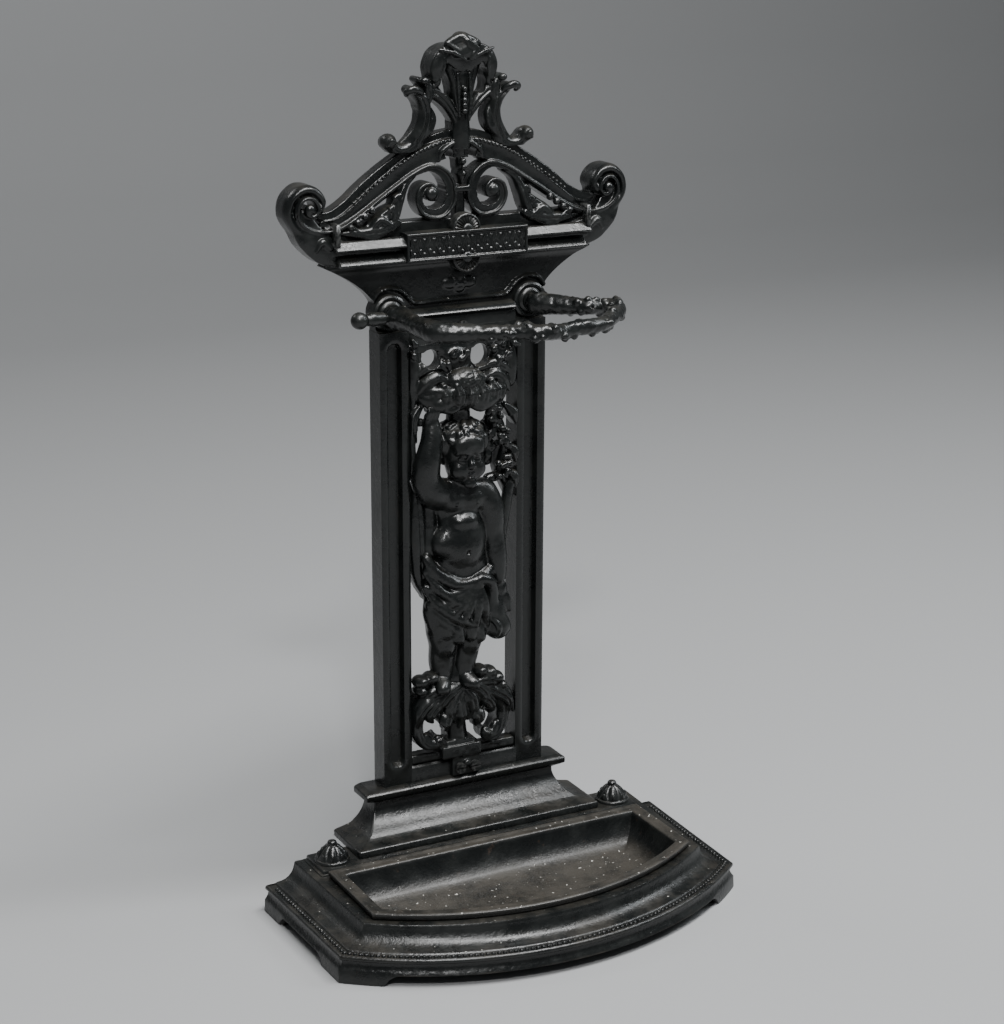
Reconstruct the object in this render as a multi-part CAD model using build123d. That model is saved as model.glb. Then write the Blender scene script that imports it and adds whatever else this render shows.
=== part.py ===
from build123d import *
from math import sqrt
import os

# Cast-iron umbrella stand: a bow-fronted base with a lift-out drip tray, an
# upright back frame with a standing figure panel, a scrolled crest and a
# hinged hoop that holds the umbrellas. Millimetres. X is across, -Y is the
# front, +Z is up. The origin is on the floor under the middle of the stand.

# Whole stand
HEIGHT = 820.0
BACK_Y = 134.0
FRONT_Y = -134.0

# Base casting
BASE_HALF_FRONT = 212.0
BASE_HALF_BACK = 217.0
BASE_BACK_Y = 107.0
BASE_ARC_R = 328.0
SEAT_Z = 45.0
DECK_Z = 50.0
DECK_FRONT_Y = 65.0
DECK_HALF = 173.0
WALL = 6.0
FOOT_LENGTH = 34.0
SKIRT_ARCH_Z = 11.0
# Base moulding, from the floor up: how far each line is set in, and its height
BASE_PROFILE = [(0, 0), (0, 12), (5, 21), (4, 24), (6, 26), (8, 27), (14, 29), (20, 30), (25, 34), (30, 40),
                (36, SEAT_Z)]

# Drip tray
TRAY_HALF = 170.0
TRAY_BACK_Y = 61.0
TRAY_ARC_R = 296.0
TRAY_APEX_Y = -93.0
TRAY_RIM_Z = 51.5
TRAY_RIM_WIDTH = 13.0
TRAY_PAN_Z = 16.0
TRAY_FLOOR = 4.0
TRAY_SLOPE = 8.0
TRAY_GAP = 1.5

# Foot apron and ledge
APRON_TOP_Z = 88.0
APRON_HALF_TOP = 98.0
APRON_HALF_FOOT = 132.0
APRON_FOOT_Y = 72.0
APRON_FLANGE = 7.0
LEDGE_HALF = 107.0
LEDGE_Z = (APRON_TOP_Z, 100.0)
LEDGE_FRONT_Y = 107.0

# Upright back frame
FRAME_FRONT_Y = 110.0
PILASTER_INNER = 57.0
PILASTER_OUTER = 87.0
FLUTE_WIDTH = 13.0
FLUTE_DEPTH = 4.0
FLUTE_Z = (120.0, 540.0)
OPENING_Z = (118.0, 536.0)
NECK_FRONT_Y = 120.0
NECK_HALF = 96.0
NECK_TOP_Z = 615.0
CREST_HALF = 138.0

# Hinge of the hoop
HINGE_X = 73.0
HINGE_Y = 100.0
HINGE_Z = 568.0
BOSS_R = 17.5
BOSS_FRONT_Y = 116.0
LUG_HALF = 5.0
LUG_R = 9.0
LUG_SHOULDER = 3.0
PIN_R = 4.0
PIN_CLEARANCE = 0.06
CHEEK_GAP = 0.6
KNUCKLE_R = 12.5
KNOB_X = 112.0
KNOB_R = 8.0
BAR_R = 7.0
HOOP_BEND = 9.0
# Plan of the branch that makes the hoop, from the left knuckle round to the right
HOOP_PLAN = [(-HINGE_X, HINGE_Y - 8), (-74, 30), (-60, 10), (-10, -9), (32, -18), (68, -13), (112, 18),
             (124, 40), (104, 62), (HINGE_X + 5, HINGE_Y - 8)]

# Figure panel
FIGURE_Y = 117.0
FIGURE_MIDDLE_Z = 330.0
LUG_THICK = 5.0
LUG_WIDTH_HALF = 16.0
EAR_HALF = 9.0

# Crest
CREST_FRONT_Y = 116.0
FILLET_FRONT_Y = 104.0
FILLET_TOP_Z = 650.0
VOLUTE_X = 150.0
VOLUTE_Z = 672.0
VOLUTE_R = 24.0
PEDIMENT_TOP_Z = 734.0
BAND_DEPTH = 17.0
SCROLL_X = 30.0
SCROLL_Z = 675.0
SCROLL_R = 26.0
PLAQUE_HALF = 62.5
PLAQUE_Z = (616.0, 643.0)
ROUNDEL_R = 14.5
ROUNDEL_Z = (617.0, 643.0)
FINIAL_Y = 124.0
FINIAL_HALF_DEPTH = 6.0
TENON_R = 4.5
TENON_DEPTH = 16.0

# Rosette caps
ROSETTE_X = 155.0
ROSETTE_Y = 85.0
ROSETTE_R = 17.0
ROSETTE_HEIGHT = 15.0

# Fasteners
SCREW_R = 3.0
HOLE_R = 3.3
HEAD_R = 5.5
HEAD_H = 4.0
UNDER_DECK_Z = SEAT_Z - WALL
NUT_FLAT = 12.0
NUT_H = 5.0
FIT = 0.05
APRON_SCREWS = [(-112.0, 88.0), (112.0, 88.0)]
FRAME_SCREWS = [(-72.0, 125.0), (72.0, 125.0)]
PANEL_SCREWS = [(-8.0, 109.0), (8.0, 109.0), (0.0, 550.0)]
CREST_SCREWS = [(-60.0, 602.0), (60.0, 602.0)]
PLAQUE_SCREWS = [(-45.0, 630.0), (45.0, 630.0)]
FINIAL_SCREW_Z = 724.0
TAB_THICK = 4.0
TAB_HALF = 12.0
TAB_LOW_Z = 590.0


def box(x, y, z):
    """Block between the two corners given as (low, high) pairs."""
    size = [high - low for low, high in (x, y, z)]
    middle = [(low + high) / 2 for low, high in (x, y, z)]
    return Pos(*middle) * Box(*size)


def upright(face, y_front, y_back):
    """Solid of an outline drawn in X and Z, from y_front back to y_back."""
    placed = Pos(0, y_back, 0) * (Plane.XZ * face)
    return extrude(placed, amount=y_back - y_front, dir=(0, -1, 0))


def sideways(face, x_low, x_high):
    """Solid of an outline drawn in Y and Z, from x_low to x_high."""
    placed = Pos(x_low, 0, 0) * (Plane.YZ * face)
    return extrude(placed, amount=x_high - x_low, dir=(1, 0, 0))


def polygon(*points):
    return make_face(Polyline(*points, close=True))


def both_sides(solid):
    """The solid and its mirror image in the middle plane."""
    return solid + mirror(solid, about=Plane.YZ)


def rod_x(x_low, x_high, y, z, radius):
    return Pos((x_low + x_high) / 2, y, z) * Rot(0, 90, 0) * Cylinder(radius, x_high - x_low)


def rod_y(x, y_low, y_high, z, radius):
    return Pos(x, (y_low + y_high) / 2, z) * Rot(90, 0, 0) * Cylinder(radius, y_high - y_low)


def rod_z(x, y, z_low, z_high, radius):
    return Pos(x, y, (z_low + z_high) / 2) * Cylinder(radius, z_high - z_low)


def blob(x, y, z, rx, ry, rz):
    """Rounded mass: a ball stretched to the three radii."""
    return Pos(x, y, z) * scale(Sphere(1), by=(rx, ry, rz))


def limb(start, end, r_start, r_end):
    """Round tapered limb between two points, with a ball at each end."""
    a = Vector(*start)
    b = Vector(*end)
    axis = Plane(origin=a, z_dir=b - a)
    length = (b - a).length
    core = Cylinder(r_start, length) if r_start == r_end else Cone(r_start, r_end, length)
    core = axis * Pos(0, 0, length / 2) * core
    return core + Pos(*start) * Sphere(r_start) + Pos(*end) * Sphere(r_end)


# ---------------------------------------------------------------- base

def bow_outline(z, half_front, half_back, back_y, radius, apex_y):
    """Plan outline with a straight back, straight sides and a bowed front."""
    centre_y = apex_y + radius
    corner_y = centre_y - sqrt(radius ** 2 - half_front ** 2)
    back = Line((-half_back, back_y), (half_back, back_y))
    right = Line((half_back, back_y), (half_front, corner_y))
    front = ThreePointArc((half_front, corner_y), (0, apex_y), (-half_front, corner_y))
    left = Line((-half_front, corner_y), (-half_back, back_y))
    return Pos(0, 0, z) * make_face(Curve() + [back, right, front, left])


def base_outline(inset, z, back_inset=0.0):
    return bow_outline(z, BASE_HALF_FRONT - inset, BASE_HALF_BACK - inset, BASE_BACK_Y - back_inset,
                       BASE_ARC_R - inset, FRONT_Y + inset)


def tray_outline(inset, z):
    return bow_outline(z, TRAY_HALF - inset, TRAY_HALF - inset, TRAY_BACK_Y - inset,
                       TRAY_ARC_R - inset, TRAY_APEX_Y + inset)


def base_casting():
    shell = loft([base_outline(inset, z) for inset, z in BASE_PROFILE], ruled=True)
    shell += box((-DECK_HALF, DECK_HALF), (DECK_FRONT_Y, BASE_BACK_Y), (SEAT_Z - WALL, DECK_Z))
    hollow = [(WALL, -1), (WALL + 5, 20), (WALL + 20, 23), (WALL + 36, SEAT_Z - WALL)]
    shell -= loft([base_outline(inset, z, WALL) for inset, z in hollow], ruled=True)
    mouth = TRAY_RIM_WIDTH - 2 * TRAY_GAP
    shell -= loft([tray_outline(mouth, SEAT_Z - 3 * WALL), tray_outline(mouth, DECK_Z)], ruled=True)
    foot_x = BASE_HALF_FRONT - FOOT_LENGTH
    front_arch = polygon((-foot_x, -1), (-foot_x + 9, SKIRT_ARCH_Z), (foot_x - 9, SKIRT_ARCH_Z), (foot_x, -1))
    shell -= upright(front_arch, FRONT_Y - 1, BASE_BACK_Y + 1)
    side_low = BASE_BACK_Y - FOOT_LENGTH
    side_arch = polygon((-20, -1), (-12, SKIRT_ARCH_Z), (side_low - 8, SKIRT_ARCH_Z), (side_low, -1))
    shell -= sideways(side_arch, -BASE_HALF_BACK - 1, BASE_HALF_BACK + 1)
    for x, y in APRON_SCREWS + [(-ROSETTE_X, ROSETTE_Y), (ROSETTE_X, ROSETTE_Y)]:
        shell -= rod_z(x, y, SEAT_Z - 2 * WALL, DECK_Z + 1, HOLE_R)
    return shell


def drip_tray():
    rim = loft([tray_outline(0, SEAT_Z + FIT), tray_outline(0, TRAY_RIM_Z)], ruled=True)
    foot_inset = TRAY_RIM_WIDTH + TRAY_SLOPE
    pan = loft([tray_outline(foot_inset, TRAY_PAN_Z), tray_outline(TRAY_RIM_WIDTH, SEAT_Z + 1)], ruled=True)
    floor_z = TRAY_PAN_Z + TRAY_FLOOR
    top_z = TRAY_RIM_Z + 1
    inner_foot = tray_outline(foot_inset + TRAY_FLOOR, floor_z)
    inside = loft([inner_foot, tray_outline(TRAY_RIM_WIDTH, top_z)], ruled=True)
    return rim + pan - inside


def apron_outline():
    """Front view of the flared foot: two hollow curves on a flat flange."""
    top = APRON_HALF_TOP
    foot = APRON_HALF_FOOT
    waist = (top + 3.0, APRON_TOP_Z - 18.0)
    flange_z = DECK_Z + APRON_FLANGE
    right = Line((top, APRON_TOP_Z), waist) + ThreePointArc(waist, (top + 12, flange_z + 7), (foot, flange_z))
    edge = Line((foot, flange_z), (foot, DECK_Z))
    left = mirror(right, about=Plane.YZ) + mirror(edge, about=Plane.YZ)
    top_line = Line((-top, APRON_TOP_Z), (top, APRON_TOP_Z))
    closing = [top_line, Line((-foot, DECK_Z), (foot, DECK_Z))]
    return make_face(Curve() + [right, edge, left] + closing)


def apron_section():
    """Side view of the flared foot: upright at the top, hollow towards the front."""
    top_y = FRAME_FRONT_Y
    foot_y = APRON_FOOT_Y
    flange_z = DECK_Z + APRON_FLANGE
    curve = ThreePointArc((top_y, APRON_TOP_Z), (top_y - 11, flange_z + 10), (foot_y, flange_z))
    back = [(BACK_Y, DECK_Z), (BACK_Y, APRON_TOP_Z)]
    rest = Polyline((foot_y, flange_z), (foot_y, DECK_Z), *back, (top_y, APRON_TOP_Z))
    return make_face(Curve() + [curve, rest])


def foot_apron():
    """Concave pedestal that carries the upright on the deck of the base."""
    front_half = APRON_HALF_FOOT + 1
    solid = upright(apron_outline(), APRON_FOOT_Y - 1, BACK_Y)
    solid &= sideways(apron_section(), -front_half, front_half)
    inner = box((-APRON_HALF_TOP + WALL, APRON_HALF_TOP - WALL), (FRAME_FRONT_Y + WALL, BACK_Y + 1),
                (DECK_Z + APRON_FLANGE, APRON_TOP_Z - WALL))
    solid -= inner
    for x, y in APRON_SCREWS:
        solid -= rod_z(x, y, DECK_Z - 1, DECK_Z + APRON_FLANGE - 1, SCREW_R + FIT)
    for x, y in FRAME_SCREWS:
        solid -= rod_z(x, y, APRON_TOP_Z - WALL - 1, APRON_TOP_Z + 1, HOLE_R)
    return solid


# ---------------------------------------------------------------- back frame


def neck_outline():
    """Front view of the neck: it spreads in two hollow curves to the crest."""
    start = (PILASTER_OUTER, HINGE_Z)
    side = Line((PILASTER_OUTER, OPENING_Z[1]), start)
    curve = ThreePointArc(start, (NECK_HALF, 585), (CREST_HALF, NECK_TOP_Z))
    left = mirror(side, about=Plane.YZ) + mirror(curve, about=Plane.YZ)
    ends = [Line((-PILASTER_OUTER, OPENING_Z[1]), (PILASTER_OUTER, OPENING_Z[1])),
            Line((-CREST_HALF, NECK_TOP_Z), (CREST_HALF, NECK_TOP_Z))]
    return make_face(Curve() + [side, curve, left] + ends)


def flute():
    """Round-ended channel down the face of the right pilaster."""
    middle = (PILASTER_INNER + PILASTER_OUTER) / 2
    half = FLUTE_WIDTH / 2
    low, high = FLUTE_Z[0] + half, FLUTE_Z[1] - half
    y = (FRAME_FRONT_Y - 1, FRAME_FRONT_Y + FLUTE_DEPTH)
    channel = box((middle - half, middle + half), y, (low, high))
    for z in (low, high):
        channel += rod_y(middle, *y, z, half)
    return channel


def hinge_boss():
    """Right boss with the lug that the hoop's knuckle straddles."""
    disc = rod_y(HINGE_X, BOSS_FRONT_Y, BACK_Y, HINGE_Z, BOSS_R)
    lug = rod_x(HINGE_X - LUG_HALF, HINGE_X + LUG_HALF, HINGE_Y, HINGE_Z, LUG_R)
    lug_x = (HINGE_X - LUG_HALF, HINGE_X + LUG_HALF)
    lug += box(lug_x, (HINGE_Y, BOSS_FRONT_Y + 1), (HINGE_Z - LUG_R, HINGE_Z + LUG_SHOULDER))
    return disc + lug


def back_frame():
    """Ledge, two fluted pilasters, neck and hinge bosses, in one casting."""
    low, high = LEDGE_Z[1], OPENING_Z[1]
    ledge = box((-LEDGE_HALF, LEDGE_HALF), (LEDGE_FRONT_Y, BACK_Y), LEDGE_Z)
    sill = box((-PILASTER_OUTER, PILASTER_OUTER), (FRAME_FRONT_Y, BACK_Y), (low, OPENING_Z[0]))
    pilaster = box((PILASTER_INNER, PILASTER_OUTER), (FRAME_FRONT_Y, BACK_Y), (low, high)) - flute()
    neck = upright(neck_outline(), NECK_FRONT_Y, BACK_Y)
    shoulder_z = (high - 1, HINGE_Z - BOSS_R - 2)
    shoulder = box((PILASTER_INNER, PILASTER_OUTER), (FRAME_FRONT_Y, BACK_Y), shoulder_z)
    string = box((EAR_HALF + 1, PILASTER_INNER), (FRAME_FRONT_Y + 3, BACK_Y), (high, high + 7))
    frame = ledge + sill + neck
    for right_part in (pilaster, shoulder, string, hinge_boss()):
        frame += both_sides(right_part)
    for x in (-HINGE_X, HINGE_X):
        frame -= rod_x(x - LUG_HALF - 1, x + LUG_HALF + 1, HINGE_Y, HINGE_Z, PIN_R + PIN_CLEARANCE)
    for x, y in FRAME_SCREWS:
        frame -= rod_z(x, y, LEDGE_Z[0] - 1, low + 8, SCREW_R + FIT)
    for x, z in PANEL_SCREWS:
        frame -= rod_y(x, FRAME_FRONT_Y - 1, BACK_Y - 4, z, SCREW_R + FIT)
    tab_y = BACK_Y - HEAD_H - TAB_THICK
    for x, z in CREST_SCREWS:
        pocket = (x - TAB_HALF - 1, x + TAB_HALF + 1)
        frame -= box(pocket, (tab_y - FIT, BACK_Y + 1), (TAB_LOW_Z - 1, NECK_TOP_Z + 1))
        frame -= rod_y(x, tab_y - 5, tab_y + 1, z, SCREW_R + FIT)
    return frame


def figure_body():
    """Standing child with a basket on the head and drapery round the hips."""
    y = FIGURE_Y
    body = blob(2, y - 3, 428, 21, 17, 32) + limb((0, y, 405), (0, y, 388), 9, 12)
    body += blob(2, y, 372, 27, 15, 27) + blob(0, y - 2, 335, 25, 16, 27) + blob(-4, y, 296, 33, 16, 30)
    body += limb((-20, y, 285), (-19, y, 208), 15, 9) + limb((6, y, 285), (2, y, 203), 15, 9)
    raised = limb((-24, y, 390), (-42, y, 400), 9, 8) + limb((-42, y, 400), (-33, y, 470), 8, 7)
    lowered = limb((26, y, 384), (35, y, 343), 9, 8) + limb((35, y, 343), (38, y, 288), 8, 6)
    body += raised + lowered + limb((38, y, 288), (42, y, 258), 6, 5) + blob(34, y - 4, 250, 12, 11, 12)
    basket = limb((1, y, 450), (1, y, 478), 14, 16) + blob(1, y, 484, 38, 15, 14)
    return body + basket + blob(3, y - 2, 499, 19, 12, 11)


def figure_panel():
    """Openwork casting that fills the frame, held by a lug at each end."""
    y = FIGURE_Y
    half = PILASTER_INNER - FIT
    low, high = OPENING_Z[0] + FIT, OPENING_Z[1] - FIT
    foot = blob(0, y, 184, 36, 14, 18) + limb((0, y, 170), (0, y, 134), 12, 15)
    for side in (-1, 1):
        foot += Pos(side * 30, y, 152) * Rot(90, 0, 0) * Torus(18, 6)
    foot += limb((-20, y, 197), (-44, y, 203), 10, 8) + limb((12, y, 193), (36, y, 198), 10, 8)
    rails = box((-half, half), (y - 5, y + 7), (low, 130)) + box((-half, half), (y - 4, y + 6), (526, high))
    lattice = limb((-50, y, 529), (-26, y, 492), 5, 4) + limb((-2, y, 529), (-26, y, 492), 5, 4)
    lug_front = FRAME_FRONT_Y - LUG_THICK
    lug_x = (-LUG_WIDTH_HALF, LUG_WIDTH_HALF)
    lug = box(lug_x, (lug_front, FRAME_FRONT_Y - FIT), (LEDGE_Z[1] + FIT, 130))
    lug += box(lug_x, (lug_front, y), (low, 130))
    ear_front = NECK_FRONT_Y - LUG_THICK
    ear_x = (-EAR_HALF, EAR_HALF)
    ear = box(ear_x, (ear_front, NECK_FRONT_Y - FIT), (523, 558))
    ear += box(ear_x, (ear_front, y), (523, high))
    panel = figure_body() + foot + rails + both_sides(lattice) + lug + ear
    for x, z in PANEL_SCREWS:
        panel -= rod_y(x, lug_front - 1, NECK_FRONT_Y + 1, z, HOLE_R)
    return panel


# ---------------------------------------------------------------- crest

def pediment_band():
    """Right half of the swan-neck moulding, from the volute up to the middle."""
    top, low = PEDIMENT_TOP_Z, PEDIMENT_TOP_Z - BAND_DEPTH
    outer = (VOLUTE_X - 16, 664)
    upper = ThreePointArc((0, top), (50, 721), (92, 690)) + ThreePointArc((92, 690), (111, 670), outer)
    inner = (VOLUTE_X - 10, 652)
    lower = ThreePointArc((0, low), (43, 705), (78, 676)) + ThreePointArc((78, 676), (103, 656), inner)
    ends = [Line((0, top), (0, low)), Line(inner, outer)]
    return upright(make_face(Curve() + [upper, lower] + ends), CREST_FRONT_Y, BACK_Y)


def volute():
    """Right scroll end: a drum with a sunk ring round its eye."""
    drum = rod_y(VOLUTE_X, CREST_FRONT_Y - 3, BACK_Y, VOLUTE_Z, VOLUTE_R)
    groove = rod_y(VOLUTE_X, CREST_FRONT_Y - 4, CREST_FRONT_Y + 4, VOLUTE_Z, VOLUTE_R - 7)
    eye = rod_y(VOLUTE_X, CREST_FRONT_Y - 2, CREST_FRONT_Y + 5, VOLUTE_Z, 8)
    return drum - groove + eye


def crest_plate():
    """Entablature, swan-neck pediment, volutes and inner scrolls."""
    front = FILLET_FRONT_Y
    corner = (VOLUTE_X + 4, VOLUTE_Z - VOLUTE_R + 4)
    shoulder = (VOLUTE_X - 20, FILLET_TOP_Z + 6)
    block = polygon((-CREST_HALF, NECK_TOP_Z), (CREST_HALF, NECK_TOP_Z), corner, shoulder,
                    (-shoulder[0], shoulder[1]), (-corner[0], corner[1]))
    plate = upright(block, CREST_FRONT_Y, BACK_Y)
    for z_low, z_high, half in ((622, 632, 127), (637, FILLET_TOP_Z, 131)):
        plate += both_sides(box((PLAQUE_HALF + 3, half), (front, CREST_FRONT_Y + 1), (z_low, z_high)))
    plate += both_sides(pediment_band()) + both_sides(volute())
    plate += box((-6, 6), (CREST_FRONT_Y, BACK_Y), (FILLET_TOP_Z, PEDIMENT_TOP_Z - 10))
    ring = rod_y(SCROLL_X, CREST_FRONT_Y + 1, BACK_Y - 1, SCROLL_Z, SCROLL_R)
    ring -= rod_y(SCROLL_X, CREST_FRONT_Y, BACK_Y, SCROLL_Z, SCROLL_R / 2)
    plate += both_sides(ring)
    tab_y = BACK_Y - HEAD_H - TAB_THICK
    for x, z in CREST_SCREWS:
        tab_x = (x - TAB_HALF, x + TAB_HALF)
        plate += box(tab_x, (tab_y, tab_y + TAB_THICK), (TAB_LOW_Z, NECK_TOP_Z + 1))
        plate -= rod_y(x, tab_y - 1, BACK_Y, z, HOLE_R)
    plate -= rod_z(0, FINIAL_Y, PEDIMENT_TOP_Z - TENON_DEPTH, PEDIMENT_TOP_Z + 1, TENON_R + FIT)
    for x, z in PLAQUE_SCREWS + [(0, FINIAL_SCREW_Z)]:
        plate -= rod_y(x, CREST_FRONT_Y - 1, BACK_Y + 1, z, HOLE_R)
        plate -= rod_y(x, BACK_Y - HEAD_H - FIT, BACK_Y + 1, z, HEAD_R + FIT)
    return plate


def finial():
    """Pierced leaf finial that stands on the top of the pediment."""
    y = (FINIAL_Y - FINIAL_HALF_DEPTH, FINIAL_Y + FINIAL_HALF_DEPTH)
    foot_z = PEDIMENT_TOP_Z + FIT
    leaf_end = (28, HEIGHT - 52)
    top_leaf = [(0, HEIGHT), (22, HEIGHT - 14), (36, HEIGHT - 38), leaf_end]
    outline = Spline(*top_leaf, tangents=[(1, 0), (-0.4, -1)])
    stem = Polyline(leaf_end, (20, 755), (9, foot_z), (0, foot_z), (0, HEIGHT))
    half = upright(make_face(Curve() + [outline, stem]), *y)
    half += limb((14, FINIAL_Y, 747), (44, FINIAL_Y, 745), 6, 5)
    half += limb((44, FINIAL_Y, 745), (57, FINIAL_Y, 768), 5, 4)
    half += limb((44, FINIAL_Y, 745), (72, FINIAL_Y, 727), 5, 6)
    half -= upright(polygon((9, 762), (19, 766), (17, 780)), y[0] - 1, y[1] + 1)
    leaf = both_sides(half)
    leaf += rod_z(0, FINIAL_Y, PEDIMENT_TOP_Z - TENON_DEPTH + 1, PEDIMENT_TOP_Z + 2, TENON_R)
    return leaf - rod_y(0, FINIAL_Y - TENON_R - 1, BACK_Y, FINIAL_SCREW_Z, SCREW_R - 0.5)


def plaque():
    """Plain raised tablet across an upright cartouche with two round ends."""
    tablet = box((-PLAQUE_HALF, PLAQUE_HALF), (FILLET_FRONT_Y - 3, CREST_FRONT_Y - FIT), PLAQUE_Z)
    for z in ROUNDEL_Z:
        tablet += rod_y(0, FILLET_FRONT_Y, CREST_FRONT_Y - FIT, z, ROUNDEL_R)
    for x, z in PLAQUE_SCREWS:
        tablet -= rod_y(x, FILLET_FRONT_Y + 3, CREST_FRONT_Y + 1, z, SCREW_R + FIT)
    return tablet


# ---------------------------------------------------------------- hoop

def knuckle():
    """Right knuckle: a slotted ball that straddles the lug of the boss."""
    ball = Pos(HINGE_X, HINGE_Y, HINGE_Z) * Sphere(KNUCKLE_R)
    half = LUG_HALF + CHEEK_GAP
    slot_x = (HINGE_X - half, HINGE_X + half)
    reach = LUG_R + CHEEK_GAP
    slot = rod_x(*slot_x, HINGE_Y, HINGE_Z, reach)
    slot_z = (HINGE_Z - KNUCKLE_R - 1, HINGE_Z + KNUCKLE_R + 1)
    slot += box(slot_x, (HINGE_Y, HINGE_Y + KNUCKLE_R + 1), slot_z)
    return ball, slot


def hoop():
    """Branch-shaped loop, bent round in one piece, with a knuckle at each end."""
    points = [(x, y, HINGE_Z) for x, y in HOOP_PLAN]
    path = FilletPolyline(*points, radius=HOOP_BEND)
    start = Plane(origin=path @ 0, z_dir=path % 0)
    loop = sweep(start * Circle(BAR_R), path=path)
    ball, slot = knuckle()
    loop = loop + both_sides(ball) - both_sides(slot)
    for x in (-HINGE_X, HINGE_X):
        loop -= rod_x(x - KNUCKLE_R - 1, x + KNUCKLE_R + 1, HINGE_Y, HINGE_Z, PIN_R)
    return loop


def hinge_pin_left():
    """Pin that ends in a neck and a ball knob outside the left knuckle."""
    shank_start = -HINGE_X + KNUCKLE_R - 1
    shank_end = -HINGE_X - KNUCKLE_R
    neck_r = PIN_R + 0.5
    knob_start = -KNOB_X + sqrt(KNOB_R ** 2 - neck_r ** 2)
    straight = Polyline((-KNOB_X - KNOB_R, 0), (shank_start, 0), (shank_start, PIN_R), (shank_end, PIN_R),
                        (shank_end, neck_r), (knob_start, neck_r))
    ball = ThreePointArc((knob_start, neck_r), (-KNOB_X, KNOB_R), (-KNOB_X - KNOB_R, 0))
    pin = revolve(Plane.XZ * make_face(Curve() + [straight, ball]), axis=Axis.X)
    return Pos(0, HINGE_Y, HINGE_Z) * pin


def hinge_pin_right():
    return rod_x(HINGE_X - KNUCKLE_R + 1, HINGE_X + KNUCKLE_R - 0.5, HINGE_Y, HINGE_Z, PIN_R)


# ---------------------------------------------------------------- rosettes and fasteners

def rosette(x):
    """Domed cap with a flange, a button and a stud through the deck."""
    flange = rod_z(x, ROSETTE_Y, DECK_Z + FIT, DECK_Z + 3, ROSETTE_R)
    dome = blob(x, ROSETTE_Y, DECK_Z + 2, ROSETTE_R - 2, ROSETTE_R - 2, ROSETTE_HEIGHT - 4)
    dome &= rod_z(x, ROSETTE_Y, DECK_Z + 2, DECK_Z + 20, ROSETTE_R)
    button = blob(x, ROSETTE_Y, DECK_Z + ROSETTE_HEIGHT - 2, 5, 5, 3)
    stud = rod_z(x, ROSETTE_Y, UNDER_DECK_Z - NUT_H - 2, DECK_Z + 1, SCREW_R)
    return flange + dome + button + stud


def rosette_left():
    return rosette(-ROSETTE_X)


def rosette_right():
    return rosette(ROSETTE_X)


def rosette_nuts():
    nut = extrude(RegularPolygon(NUT_FLAT / 2, 4, major_radius=False), amount=NUT_H)
    nut -= rod_z(0, 0, -1, NUT_H + 1, SCREW_R + FIT)
    return Compound([Pos(x, ROSETTE_Y, UNDER_DECK_Z - NUT_H - FIT) * nut for x in (-ROSETTE_X, ROSETTE_X)])


def screw(length):
    """Cheese-head screw: the head's underside at the origin, shank along -Z."""
    head = rod_z(0, 0, 0, HEAD_H - FIT, HEAD_R)
    slot = box((-HEAD_R, HEAD_R), (-0.8, 0.8), (HEAD_H - 1.5, HEAD_H))
    return head - slot + rod_z(0, 0, -length, 0.5, SCREW_R)


def screws_up(places, seat_z, length):
    """Screws driven upwards from under a plate at seat_z."""
    return Compound([Pos(x, y, seat_z - FIT) * Rot(180, 0, 0) * screw(length) for x, y in places])


def screws_forward(places, seat_y, length):
    """Screws driven towards the front from behind a plate at seat_y."""
    return Compound([Pos(x, seat_y + FIT, z) * Rot(-90, 0, 0) * screw(length) for x, z in places])


def screws_back(places, length):
    """Screws driven towards the back, each from the plate face at its own seat_y."""
    return Compound([Pos(x, seat_y - FIT, z) * Rot(90, 0, 0) * screw(length) for x, seat_y, z in places])


def apron_screws():
    return screws_up(APRON_SCREWS, UNDER_DECK_Z, DECK_Z + APRON_FLANGE - 3 - UNDER_DECK_Z)


def frame_screws():
    return screws_up(FRAME_SCREWS, APRON_TOP_Z - WALL, LEDGE_Z[1] + 6 - APRON_TOP_Z + WALL)


def panel_screws():
    lug = FRAME_FRONT_Y - LUG_THICK
    ear = NECK_FRONT_Y - LUG_THICK
    return screws_back([(x, lug if z < FIGURE_MIDDLE_Z else ear, z) for x, z in PANEL_SCREWS], 13)


def crest_screws():
    return screws_forward(CREST_SCREWS, BACK_Y - HEAD_H, TAB_THICK + 4)


def plaque_screws():
    return screws_forward(PLAQUE_SCREWS, BACK_Y - HEAD_H, BACK_Y - HEAD_H - CREST_FRONT_Y + 8)


def finial_screw():
    seat = Pos(0, BACK_Y - HEAD_H + FIT, FINIAL_SCREW_Z) * Rot(-90, 0, 0)
    head = rod_z(0, 0, 0, HEAD_H - FIT, HEAD_R)
    return seat * (head + rod_z(0, 0, -10, 0.5, SCREW_R - 0.5 - FIT))


NODES = [base_casting, drip_tray, foot_apron, back_frame, figure_panel, crest_plate, finial, plaque,
         hoop, hinge_pin_left, hinge_pin_right, rosette_left, rosette_right, rosette_nuts,
         apron_screws, frame_screws, panel_screws, crest_screws, plaque_screws, finial_screw]

if __name__ == "__main__":
    os.makedirs("parts", exist_ok=True)
    for make in NODES:
        export_step(make(), f"parts/{make.__name__}.step")
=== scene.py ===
import math

import bpy
import numpy as np
from mathutils import Matrix, Vector


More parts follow.
